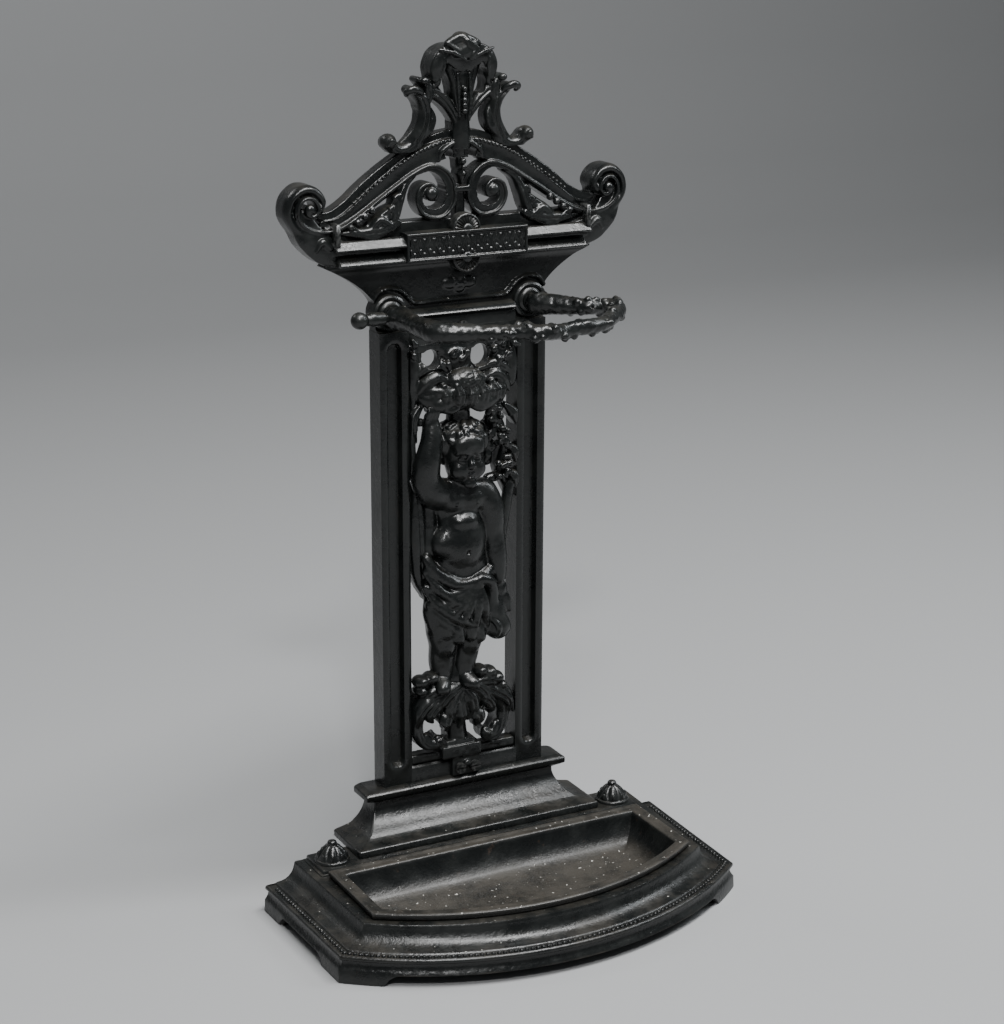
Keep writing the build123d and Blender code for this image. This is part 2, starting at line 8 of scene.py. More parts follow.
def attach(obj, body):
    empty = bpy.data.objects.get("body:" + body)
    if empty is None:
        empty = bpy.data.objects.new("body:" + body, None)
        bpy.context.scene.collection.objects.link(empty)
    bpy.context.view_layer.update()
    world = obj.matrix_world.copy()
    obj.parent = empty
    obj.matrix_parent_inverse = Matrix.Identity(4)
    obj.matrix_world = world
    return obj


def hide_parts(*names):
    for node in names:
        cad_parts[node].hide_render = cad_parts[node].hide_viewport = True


# Cast-iron umbrella stand in black enamel. Helpers work in millimetres in the
# shared frame (x across, -y front, z up) and put() scales them to metres.

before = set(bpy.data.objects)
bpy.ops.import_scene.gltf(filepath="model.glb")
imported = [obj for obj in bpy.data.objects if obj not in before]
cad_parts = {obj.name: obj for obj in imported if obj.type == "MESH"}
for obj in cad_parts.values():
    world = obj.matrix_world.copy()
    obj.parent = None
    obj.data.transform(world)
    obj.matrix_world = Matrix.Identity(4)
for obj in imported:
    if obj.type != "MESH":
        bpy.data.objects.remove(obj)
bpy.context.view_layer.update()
BACK_Y = 134.0
PILASTER_X = 72.0
BOSS_X = 73.0
HINGE_Y = 100.0
HINGE_Z = 568.0
ROSETTE_X = 155.0
ROSETTE_Y = 85.0
SIDES = (-1, 1)


# ---------------------------------------------------------------- meshes

class Parts:
    """Vertices and faces of one piece, gathered from several closed shells."""

    def __init__(self):
        self.points = []
        self.faces = []
        self.count = 0

    def add(self, points, faces):
        points = np.asarray(points, float).reshape(-1, 3)
        self.points.append(points)
        self.faces.extend([tuple(int(i) + self.count for i in face) for face in faces])
        self.count += len(points)

    def put(self, name, material, body, nodes=(), sharp=38):
        mesh = bpy.data.meshes.new(name)
        mesh.from_pydata((np.vstack(self.points) * 0.001).tolist(), [], self.faces)
        mesh.validate()
        mesh.polygons.foreach_set("use_smooth", [True] * len(mesh.polygons))
        if sharp:
            mesh.set_sharp_from_angle(angle=math.radians(sharp))
        mesh.materials.append(material)
        piece = bpy.data.objects.new(name, mesh)
        bpy.context.scene.collection.objects.link(piece)
        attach(piece, body)
        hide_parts(*nodes)
        return piece


def loft(parts, rings, loop=False):
    """Skin over closed rings with the same number of points, capped unless it loops."""
    n = len(rings[0])
    count = len(rings)
    faces = []
    for k in range(count if loop else count - 1):
        a = k * n
        b = ((k + 1) % count) * n
        faces += [(a + i, a + (i + 1) % n, b + (i + 1) % n, b + i) for i in range(n)]
    if not loop:
        faces.append(tuple(reversed(range(n))))
        faces.append(tuple(range((count - 1) * n, count * n)))
    parts.add(np.vstack(rings), faces)


def rounded_ring(x_half, y_front, y_back, z, radius=2.0, x_middle=0.0, steps=4):
    """Rectangle in plan with rounded corners, anticlockwise from above."""
    corners = [(x_half - radius, y_front + radius, -90), (x_half - radius, y_back - radius, 0),
               (-x_half + radius, y_back - radius, 90), (-x_half + radius, y_front + radius, 180)]
    ring = []
    for x, y, start in corners:
        for k in range(steps + 1):
            a = math.radians(start + 90 * k / steps)
            ring.append((x_middle + x + radius * math.cos(a), y + radius * math.sin(a), z))
    return np.array(ring)


def bar(parts, x, y, z, bevel=1.5):
    """Block between (low, high) pairs with softened edges."""
    middle = (x[0] + x[1]) / 2
    half = (x[1] - x[0]) / 2
    steps = [(bevel, z[0]), (bevel * 0.3, z[0] + bevel * 0.3), (0, z[0] + bevel),
             (0, z[1] - bevel), (bevel * 0.3, z[1] - bevel * 0.3), (bevel, z[1])]
    rings = [rounded_ring(half - d, y[0] + d, y[1] - d, level, bevel, middle, 3) for d, level in steps]
    loft(parts, rings)


def dome(parts, centre, radius, height=None, sides=10, rows=4):
    """Half ball that stands up from a point on the casting."""
    height = height or radius
    rings = []
    for k in range(rows):
        a = math.pi / 2 * k / rows
        t = np.arange(sides) * 2 * math.pi / sides
        r = radius * math.cos(a)
        z = np.full(sides, centre[2] + height * math.sin(a))
        rings.append(np.stack([centre[0] + r * np.cos(t), centre[1] + r * np.sin(t), z], 1))
    base = rings[0].copy()
    base[:, 2] -= 1.5
    rings.insert(0, base)
    loft(parts, rings)


def disc_front(parts, centre, profile, sides=40):
    """Turned shape on an axis along y: profile lists (radius, y)."""
    t = np.arange(sides) * 2 * math.pi / sides
    rings = []
    for radius, y in profile:
        rings.append(np.stack([centre[0] + radius * np.cos(t), np.full(sides, y),
                               centre[1] + radius * np.sin(t)], 1))
    loft(parts, rings)


def relief(parts, xs, zs, half, front, back_y):
    """Plate with a modelled front: x runs over xs times half(z), front(x, z) gives y."""
    z_grid, u_grid = np.meshgrid(zs, xs, indexing="ij")
    x_grid = u_grid * half(z_grid)
    y_grid = front(x_grid, z_grid)
    rows, columns = x_grid.shape
    face_points = np.stack([x_grid, y_grid, z_grid], -1).reshape(-1, 3)
    back_points = np.stack([x_grid, np.full_like(x_grid, back_y), z_grid], -1).reshape(-1, 3)
    total = rows * columns
    faces = []
    for r in range(rows - 1):
        for c in range(columns - 1):
            a = r * columns + c
            faces.append((a, a + 1, a + columns + 1, a + columns))
    edge = list(range(columns))
    edge += [r * columns + columns - 1 for r in range(1, rows)]
    edge += [(rows - 1) * columns + c for c in range(columns - 2, -1, -1)]
    edge += [r * columns for r in range(rows - 2, 0, -1)]
    for a, b in zip(edge, edge[1:] + edge[:1]):
        faces.append((a, a + total, b + total, b))
    faces.append(tuple(i + total for i in edge))
    parts.add(np.vstack([face_points, back_points]), faces)


# ---------------------------------------------------------------- modelling in a distance field

def smooth_path(points, per_span=8):
    """Points on a Catmull-Rom curve through the given ones."""
    p = np.asarray(points, float)
    if len(p) < 3:
        return p
    ext = np.vstack([2 * p[0] - p[1], p, 2 * p[-1] - p[-2]])
    found = []
    for k in range(1, len(ext) - 2):
        t = np.linspace(0, 1, per_span, endpoint=False)[:, None]
        a, b, c, d = ext[k - 1:k + 3]
        found.append(0.5 * ((2 * b) + (c - a) * t + (2 * a - 5 * b + 4 * c - d) * t ** 2
                            + (3 * b - a - 3 * c + d) * t ** 3))
    return np.vstack(found + [p[-1:]])


def along(values, share):
    """Value at a share, 0 to 1, of the way through a list, or the one number given."""
    values = np.atleast_1d(values)
    return np.interp(share, np.linspace(0, 1, len(values)), values)


def soft_min(a, b, blend):
    h = np.clip(0.5 + 0.5 * (b - a) / blend, 0, 1)
    return b + (a - b) * h - blend * h * (1 - h)


def soft_max(a, b, blend):
    return -soft_min(-a, -b, blend)


def lattice_noise(shape, low, step, size, seed):
    """Smooth random field, about -1 to 1, with bumps of the given size."""
    rng = np.random.default_rng(seed)
    axes = []
    for count, start in zip(shape, low):
        axes.append((np.arange(count) * step) / size)
    dims = [int(a[-1]) + 3 for a in axes]
    table = rng.uniform(-1, 1, dims)
    for axis, a in enumerate(axes):
        base = np.floor(a).astype(int)
        f = a - base
        f = f * f * (3 - 2 * f)
        lower = np.take(table, base, axis)
        upper = np.take(table, base + 1, axis)
        wide = [1, 1, 1]
        wide[axis] = -1
        f = f.reshape(wide)
        table = lower * (1 - f) + upper * f
    return table


class Clay:
    """Solid modelled as a distance field on a grid, negative inside."""

    def __init__(self, low, high, step):
        self.low = np.array(low, float)
        self.step = step
        shape = [int(math.ceil((b - a) / step)) + 1 for a, b in zip(low, high)]
        self.values = np.full(shape, 60.0, np.float32)

    def window(self, low, high):
        cut = []
        axes = []
        for k in range(3):
            a = max(int((low[k] - self.low[k]) / self.step), 0)
            b = min(int((high[k] - self.low[k]) / self.step) + 2, self.values.shape[k])
            b = max(b, a + 1)
            cut.append(slice(a, b))
            wide = [1, 1, 1]
            wide[k] = -1
            axes.append((self.low[k] + np.arange(a, b) * self.step).reshape(wide))
        return tuple(cut), axes

    def join(self, cut, distance, blend, remove=False):
        old = self.values[cut]
        if remove:
            new = soft_max(old, -distance, blend)
        else:
            new = soft_min(distance, old, blend)
        self.values[cut] = new

    def ball(self, centre, radii, blend=2.0, remove=False):
        r = np.broadcast_to(np.asarray(radii, float), (3,))
        c = np.asarray(centre, float)
        cut, (x, y, z) = self.window(c - r - blend - 2, c + r + blend + 2)
        px, py, pz = (x - c[0]) / r[0], (y - c[1]) / r[1], (z - c[2]) / r[2]
        k0 = np.sqrt(px ** 2 + py ** 2 + pz ** 2) + 1e-6
        k1 = np.sqrt((px / r[0]) ** 2 + (py / r[1]) ** 2 + (pz / r[2]) ** 2) + 1e-6
        self.join(cut, k0 * (k0 - 1) / k1, blend, remove)

    def limb(self, points, radii, blend=2.0):
        """Tapered round limb through the points."""
        path = smooth_path(points, 5)
        r = along(radii, np.linspace(0, 1, len(path)))
        for a, b, ra, rb in zip(path[:-1], path[1:], r[:-1], r[1:]):
            reach = max(ra, rb) + blend + 2
            cut, (x, y, z) = self.window(np.minimum(a, b) - reach, np.maximum(a, b) + reach)
            d = b - a
            px, py, pz = x - a[0], y - a[1], z - a[2]
            t = np.clip((px * d[0] + py * d[1] + pz * d[2]) / (d @ d + 1e-9), 0, 1)
            gap = np.sqrt((px - t * d[0]) ** 2 + (py - t * d[1]) ** 2 + (pz - t * d[2]) ** 2)
            self.join(cut, gap - (ra + (rb - ra) * t), blend)

    def block(self, x, y, z, radius=1.5, blend=0.6, remove=False):
        """Rounded block between (low, high) pairs."""
        low = np.array([x[0], y[0], z[0]]) - blend - 2
        high = np.array([x[1], y[1], z[1]]) + blend + 2
        cut, (gx, gy, gz) = self.window(low, high)
        middle = [(a + b) / 2 for a, b in (x, y, z)]
        half = [(b - a) / 2 - radius for a, b in (x, y, z)]
        qx = np.abs(gx - middle[0]) - half[0]
        qy = np.maximum(y[0] + radius - gy, gy - y[1] + radius)
        qz = np.abs(gz - middle[2]) - half[2]
        outside = np.sqrt(np.maximum(qx, 0) ** 2 + np.maximum(qy, 0) ** 2 + np.maximum(qz, 0) ** 2)
        inside = np.minimum(np.maximum(np.maximum(qx, qy), qz), 0)
        self.join(cut, outside + inside - radius, blend, remove)

    def stroke(self, points, left, front, crown, back=BACK_Y, groove=0.0, blend=0.8, edge=1.2, right=None):
        """Flat carved ribbon along a path in x and z.

        left and right are its widths each side of the path, front the y of its
        face, crown how far its edges fall back, back the y of its flat rear and
        groove the depth of a midrib. Each is one number or a list along the path."""
        right = left if right is None else right
        path = smooth_path(points, 8)
        length = np.concatenate([[0], np.cumsum(np.linalg.norm(np.diff(path, axis=0), axis=1))])
        share = length / length[-1]
        reach = max(np.max(left), np.max(right)) + blend + 3
        low = (path[:, 0].min() - reach, np.min(front) - 4, path[:, 1].min() - reach)
        high = (path[:, 0].max() + reach, back + 4, path[:, 1].max() + reach)
        cut, (x, y, z) = self.window(low, high)
        gx, gz = np.broadcast_arrays(x[:, 0, :], z[:, 0, :])
        best = np.full(gx.shape, 1e9)
        side = np.ones(gx.shape)
        place = np.zeros(gx.shape)
        for a, b, sa, sb in zip(path[:-1], path[1:], share[:-1], share[1:]):
            d = b - a
            px, pz = gx - a[0], gz - a[1]
            t = np.clip((px * d[0] + pz * d[1]) / (d @ d + 1e-9), 0, 1)
            gap = np.hypot(px - t * d[0], pz - t * d[1])
            near = gap < best
            best = np.where(near, gap, best)
            side = np.where(near, np.where(d[0] * pz - d[1] * px >= 0, 1.0, -1.0), side)
            place = np.where(near, sa + (sb - sa) * t, place)
        width = np.where(side > 0, along(left, place), along(right, place))
        u = np.clip(best / np.maximum(width, 0.4), 0, 1.3)
        face = along(front, place) + along(crown, place) * u ** 2
        face = face + groove * np.exp(-(best / 1.3) ** 2)
        outline = (best - width)[:, None, :]
        distance = soft_max(face[:, None, :] - y, y - back, edge)
        distance = soft_max(distance, outline + 0 * y, edge)
        self.join(cut, distance, blend)

    def roughen(self, size, depth, seed):
        self.values += depth * lattice_noise(self.values.shape, self.low, self.step, size, seed)

    def skin(self, parts):
        """Surface nets over the grid, with one vertex in each crossed cell."""
        v = self.values
        v[0], v[-1] = 9, 9
        v[:, 0], v[:, -1] = 9, 9
        v[:, :, 0], v[:, :, -1] = 9, 9
        inside = v < 0
        corners = [(i, j, k) for i in (0, 1) for j in (0, 1) for k in (0, 1)]
        n = [s - 1 for s in v.shape]
        total = np.zeros(n, np.int8)
        for i, j, k in corners:
            total += inside[i:n[0] + i, j:n[1] + j, k:n[2] + k]
        active = (total > 0) & (total < 8)
        index = np.full(n, -1, np.int64)
        index[active] = np.arange(active.sum())
        cells = np.argwhere(active)
        place = np.zeros((len(cells), 3))
        hits = np.zeros(len(cells))
        for a in corners:
            for axis in range(3):
                if a[axis]:
                    continue
                b = list(a)
                b[axis] = 1
                va = v[tuple((cells + a).T)]
                vb = v[tuple((cells + b).T)]
                crossed = (va < 0) != (vb < 0)
                t = np.where(crossed, va / np.where(crossed, va - vb, 1), 0)
                p = np.tile(np.array(a, float), (len(cells), 1))
                p[:, axis] += t
                place[crossed] += p[crossed]
                hits += crossed
        points = self.low + (cells + place / np.maximum(hits, 1)[:, None]) * self.step
        faces = []
        for axis in range(3):
            u, w = [k for k in range(3) if k != axis]
            first = [slice(1, -1)] * 3
            first[axis] = slice(0, -1)
            second = list(first)
            second[axis] = slice(1, None)
            a, b = inside[tuple(first)], inside[tuple(second)]
            where = np.argwhere(a != b)
            rising = a[tuple(where.T)]
            base = where.copy()
            base[:, u] += 1
            base[:, w] += 1
            quad = []
            for du, dw in ((0, 0), (1, 0), (1, 1), (0, 1)):
                c = base.copy()
                c[:, u] -= du
                c[:, w] -= dw
                quad.append(index[tuple(c.T)])
            quad = np.stack(quad, 1)
            flip = rising if axis != 1 else ~rising
            quad[~flip] = quad[~flip][:, ::-1]
            faces.append(quad)
        parts.add(points, np.vstack(faces).tolist())


# ---------------------------------------------------------------- materials

class Shade:
    """Small helper that adds and links shader nodes."""

    def __init__(self, name):
        self.material = bpy.data.materials.new(name)
        self.material.use_nodes = True
        self.nodes = self.material.node_tree.nodes
        self.links = self.material.node_tree.links
        self.shader = self.nodes["Principled BSDF"]
        self.place = self.nodes.new("ShaderNodeTexCoord").outputs["Object"]

    def link(self, value, socket):
        if isinstance(value, (int, float, tuple)):
            socket.default_value = value
        else:
            self.links.new(value, socket)

    def noise(self, scale, detail=4.0, rough=0.6):
        node = self.nodes.new("ShaderNodeTexNoise")
        node.inputs["Scale"].default_value = scale
        node.inputs["Detail"].default_value = detail
        node.inputs["Roughness"].default_value = rough
        self.links.new(self.place, node.inputs["Vector"])
        return node.outputs["Fac"]

    def ramp(self, value, low, high, out_low=0.0, out_high=1.0):
        node = self.nodes.new("ShaderNodeMapRange")
        node.interpolation_type = "SMOOTHSTEP"
        self.links.new(value, node.inputs["Value"])
        for label, number in (("From Min", low), ("From Max", high), ("To Min", out_low),
                              ("To Max", out_high)):
            node.inputs[label].default_value = number
        return node.outputs["Result"]

    def combine(self, operation, a, b):
        node = self.nodes.new("ShaderNodeMath")
        node.operation = operation
        self.link(a, node.inputs[0])
        self.link(b, node.inputs[1])
        return node.outputs[0]

    def mix(self, share, a, b):
        node = self.nodes.new("ShaderNodeMix")
        node.data_type = "RGBA"
        self.link(share, node.inputs["Factor"])
        self.link(a, node.inputs["A"])
        self.link(b, node.inputs["B"])
        return node.outputs["Result"]

    def bump(self, height, strength, distance, normal=None):
        node = self.nodes.new("ShaderNodeBump")
        node.inputs["Strength"].default_value = strength
        node.inputs["Distance"].default_value = distance
        self.links.new(height, node.inputs["Height"])
        if normal is not None:
            self.links.new(normal, node.inputs["Normal"])
        return node.outputs["Normal"]


DEEP_BLACK = (0.0036, 0.0044, 0.0044, 1)
THIN_BLACK = (0.0085, 0.0098, 0.0092, 1)
DUST = (0.062, 0.054, 0.043, 1)
BARE_IRON = (0.16, 0.16, 0.155, 1)
RUST = (0.045, 0.022, 0.011, 1)
PALE_FLECK = (0.42, 0.41, 0.38, 1)


def enamel(name, gloss, dust, rust, pitting, wear, fleck=0.0, even=0.0):
    """Black enamel over cast iron, with worn edges, dust in hollows and pitting."""
    s = Shade(name)
    geometry = s.nodes.new("ShaderNodeNewGeometry")
    split = s.nodes.new("ShaderNodeSeparateXYZ")
    s.links.new(geometry.outputs["Normal"], split.inputs["Vector"])
    blotch = s.noise(38, 5, 0.65)
    fine = s.noise(420, 4, 0.6)
    coarse = s.noise(150, 3, 0.55)
    colour = s.mix(s.ramp(blotch, 0.35, 0.7), DEEP_BLACK, THIN_BLACK)
    up = s.ramp(split.outputs["Z"], 0.5, 0.97)
    patch = s.ramp(s.noise(26, 9, 0.72), 0.38 - even, 0.72 - even * 0.6)
    settled = s.combine("MULTIPLY", s.combine("MULTIPLY", up, patch), dust)
    hollow = s.ramp(geometry.outputs["Pointiness"], 0.40, 0.487, 1.0, 0.0)
    settled = s.combine("MAXIMUM", settled, s.combine("MULTIPLY", s.combine("MULTIPLY", hollow, patch),
                                                      dust * 0.8))
    colour = s.mix(settled, colour, DUST)
    edge = s.ramp(geometry.outputs["Pointiness"], 0.525, 0.60)
    chipped = s.combine("MULTIPLY", s.combine("MULTIPLY", edge, s.ramp(fine, 0.42, 0.62)), wear)
    colour = s.mix(chipped, colour, BARE_IRON)
    rusty = s.combine("MULTIPLY", s.ramp(s.noise(95, 6, 0.72), 0.60, 0.72), rust)
    colour = s.mix(rusty, colour, RUST)
    chips = s.ramp(s.noise(260, 2, 0.5), 0.742 - 0.05 * fleck, 0.762 - 0.05 * fleck)
    colour = s.mix(s.combine("MULTIPLY", chips, up), colour, PALE_FLECK)
    s.links.new(colour, s.shader.inputs["Base Color"])
    rough = s.ramp(blotch, 0.3, 0.75, gloss, gloss + 0.17)
    rough = s.combine("ADD", rough, s.combine("MULTIPLY", settled, 0.35))
    rough = s.combine("ADD", rough, s.combine("MULTIPLY", rusty, 0.4))
    s.links.new(rough, s.shader.inputs["Roughness"])
    s.shader.inputs["Specular IOR Level"].default_value = 0.42
    s.shader.inputs["Coat Weight"].default_value = 0.12
    s.shader.inputs["Coat Roughness"].default_value = 0.22
    normal = s.bump(coarse, 0.34 * pitting, 0.0010)
    normal = s.bump(fine, 0.40 * pitting, 0.0005, normal)
    s.links.new(normal, s.shader.inputs["Normal"])
    return s.material


def steel():
    s = Shade("screw_steel")
    shade = s.ramp(s.noise(600, 3), 0.3, 0.7)
    colour = s.mix(shade, (0.10, 0.095, 0.09, 1), (0.22, 0.21, 0.20, 1))
    s.links.new(colour, s.shader.inputs["Base Color"])
    s.links.new(s.ramp(s.noise(250, 4), 0.3, 0.7, 0.4, 0.65), s.shader.inputs["Roughness"])
    s.shader.inputs["Metallic"].default_value = 0.8
    return s.material


BLACK = enamel("black_enamel", gloss=0.22, dust=0.3, rust=0.08, pitting=0.9, wear=0.22)
BASE_BLACK = enamel("black_enamel_base", gloss=0.22, dust=0.42, rust=0.12, pitting=1.5, wear=0.05, fleck=0.15)
TRAY_BLACK = enamel("tray_enamel", gloss=0.27, dust=0.6, rust=0.5, pitting=1.6, wear=0.1, fleck=0.75,
                    even=0.14)
FRAME_BLACK = enamel("black_enamel_frame", gloss=0.22, dust=0.3, rust=0.08, pitting=0.9, wear=0.05)
STEEL = steel()


# ---------------------------------------------------------------- base casting

BASE_HALF = (212.0, 217.0)
BASE_BACK_Y = 107.0
BASE_ARC_R = 328.0
FRONT_Y = -134.0
TRAY_HALF = 170.0
TRAY_BACK_Y = 61.0
TRAY_ARC_R = 296.0
TRAY_APEX_Y = -93.0
FOOT_LENGTH = 34.0
ARCH_Z = 11.0
BEAD_STEP = 5.2


def bow(half_front, half_back, back_y, radius, apex_y, counts=(60, 60, 130)):
    """Plan points of an outline with a bowed front: back, right, front, left."""
    centre_y = apex_y + radius
    corner_y = centre_y - math.sqrt(radius ** 2 - half_front ** 2)
    swing = math.asin(half_front / radius)
    points = []
    for t in np.linspace(0, 1, counts[1], endpoint=False):
        points.append((half_back + (half_front - half_back) * t, back_y + (corner_y - back_y) * t))
    for t in np.linspace(0, 1, counts[2], endpoint=False):
        a = swing * (1 - 2 * t)
        points.append((radius * math.sin(a), centre_y - radius * math.cos(a)))
    for t in np.linspace(0, 1, counts[1], endpoint=False):
        points.append((-half_front + (half_front - half_back) * t, corner_y + (back_y - corner_y) * t))
    for t in np.linspace(0, 1, counts[0], endpoint=False):
        points.append((-half_back + 2 * half_back * t, back_y))
    return np.array(points)[::-1]


def base_ring(inset, z, back_inset=0.0):
    plan = bow(BASE_HALF[0] - inset, BASE_HALF[1] - inset, BASE_BACK_Y - back_inset, BASE_ARC_R - inset,
               FRONT_Y + inset)
    return np.column_stack([plan, np.full(len(plan), z) if np.isscalar(z) else z])


def tray_ring(inset, z):
    plan = bow(TRAY_HALF - inset, TRAY_HALF - inset, TRAY_BACK_Y - inset, TRAY_ARC_R - inset,
               TRAY_APEX_Y + inset)
    return np.column_stack([plan, np.full(len(plan), z)])


def skirt_bottom():
    """Height of the skirt's lower edge, which is arched between the feet."""
    plan = bow(BASE_HALF[0], BASE_HALF[1], BASE_BACK_Y, BASE_ARC_R, FRONT_Y)
    foot_x = BASE_HALF[0] - FOOT_LENGTH
    corner_y = FRONT_Y + BASE_ARC_R - math.sqrt(BASE_ARC_R ** 2 - BASE_HALF[0] ** 2)
    in_front = plan[:, 1] < corner_y + 0.5
    from_foot = np.where(in_front, foot_x - np.abs(plan[:, 0]), 0)
    side_low, side_high = -21.0, BASE_BACK_Y - FOOT_LENGTH
    on_side = ~in_front & (np.abs(plan[:, 0]) > BASE_HALF[0] - 1)
    from_side = np.minimum(plan[:, 1] - side_low, side_high - plan[:, 1])
    inward = np.where(on_side, from_side, from_foot)
    rear = ~in_front & ~on_side
    inward = np.where(rear, foot_x - np.abs(plan[:, 0]), inward)
    t = np.clip(inward / 11.0, 0, 1)
    return ARCH_Z * np.sqrt(np.clip(1 - (1 - t) ** 2, 0, 1)) * (0.8 + 0.2 * t)


def make_base():
    parts = Parts()
    bottom = skirt_bottom()
    outer = [(0.6, 12.4), (2.0, 14.2), (3.6, 17.0), (4.4, 19.6), (4.2, 21.2), (2.2, 22.2), (1.4, 23.2),
             (1.4, 25.0), (2.2, 26.2), (3.6, 26.8), (4.4, 26.0), (11.6, 26.0), (12.4, 27.2), (14.0, 27.8),
             (18.0, 28.2), (22.0, 29.4), (25.6, 31.6), (28.4, 34.6), (30.4, 38.4), (31.4, 42.0),
             (31.8, 44.2), (32.6, 45.2), (34.0, 45.4), (38.5, 45.4)]
    rings = [base_ring(0.6, bottom), base_ring(0, np.maximum(bottom, 0.8))]
    rings += [base_ring(inset, z) for inset, z in outer]
    rings += [tray_ring(0.6, 45.2), tray_ring(1.6, 44.8), tray_ring(10, 44.8), tray_ring(10.6, 39.0)]
    rings += [base_ring(44, 39.0, 6), base_ring(26, 30.0, 6), base_ring(11, 20.0, 6),
              base_ring(6, 13.0, 6), base_ring(6, bottom, 6)]
    loft(parts, [ring[::-1] for ring in rings], loop=True)
    bar(parts, (-173, 173), (64.5, BASE_BACK_Y), (40, 50), 1.8)
    bar(parts, (-176, 176), (62.6, BASE_BACK_Y - 0.4), (38, 46.6), 1.2)
    row = base_ring(8.0, 26.0)
    row = row[row[:, 1] < BASE_BACK_Y - 9]
    row = row[np.argsort(np.arctan2(row[:, 0], -(row[:, 1] - 60)))]
    steps = np.concatenate([[0], np.cumsum(np.linalg.norm(np.diff(row[:, :2], axis=0), axis=1))])
    count = int(steps[-1] / BEAD_STEP)
    for s in np.linspace(2, steps[-1] - 2, count):
        x = np.interp(s, steps, row[:, 0])
        y = np.interp(s, steps, row[:, 1])
        dome(parts, (x, y, 26.0), 2.35, 2.3, 8, 3)
    parts.put("base_casting_detailed", BASE_BLACK, "stand", ["base_casting"])


def make_tray():
    parts = Parts()
    profile = [(13.0, 45.1), (1.6, 45.2), (1.0, 46.0), (0.0, 49.4), (0.3, 51.0), (1.6, 52.0), (3.2, 52.2),
               (5.0, 51.2), (8.0, 50.8), (10.4, 51.0), (12.0, 50.8), (13.2, 49.6), (14.0, 47.0),
               (15.2, 43.0), (17.2, 37.6), (20.2, 32.0), (24.4, 26.8), (29.6, 23.2), (36.0, 21.2),
               (44.0, 20.3), (58.0, 20.0)]
    rings = [tray_ring(inset, z) for inset, z in profile]
    under = [(58.0, 16.0), (21.5, 16.0), (19.5, 18.0)]
    rings = [tray_ring(inset, z) for inset, z in under] + rings
    loft(parts, [ring[::-1] for ring in rings])
    parts.put("drip_tray_detailed", TRAY_BLACK, "tray", ["drip_tray"])


# ---------------------------------------------------------------- foot and back frame

def make_apron():
    parts = Parts()
    levels = [(50.1, 131.4, 72.6), (50.6, 132, 72), (55.6, 132, 72), (56.6, 131.4, 72.6), (57.2, 130, 74),
              (57.8, 127, 77.6), (59.0, 121, 83.4), (60.6, 115.6, 88.0), (61.4, 113.8, 88.8),
              (63.2, 111.4, 90.6), (65.6, 108.6, 94.6), (68.4, 105.8, 98.6), (71.6, 103.4, 102.4),
              (75.0, 101.4, 105.6), (79.0, 99.8, 108.0), (83.0, 98.8, 109.2), (88.4, 98.6, 109.4)]
    loft(parts, [rounded_ring(half, y, BACK_Y, z, 1.4) for z, half, y in levels])
    parts.put("foot_apron_detailed", BASE_BLACK, "stand", ["foot_apron"])


def path_distance(x, z, path):
    best = np.full(np.shape(x), 1e9)
    for a, b in zip(path[:-1], path[1:]):
        d = b - a
        t = np.clip(((x - a[0]) * d[0] + (z - a[1]) * d[1]) / (d @ d + 1e-9), 0, 1)
        best = np.minimum(best, np.hypot(x - a[0] - t * d[0], z - a[1] - t * d[1]))
    return best


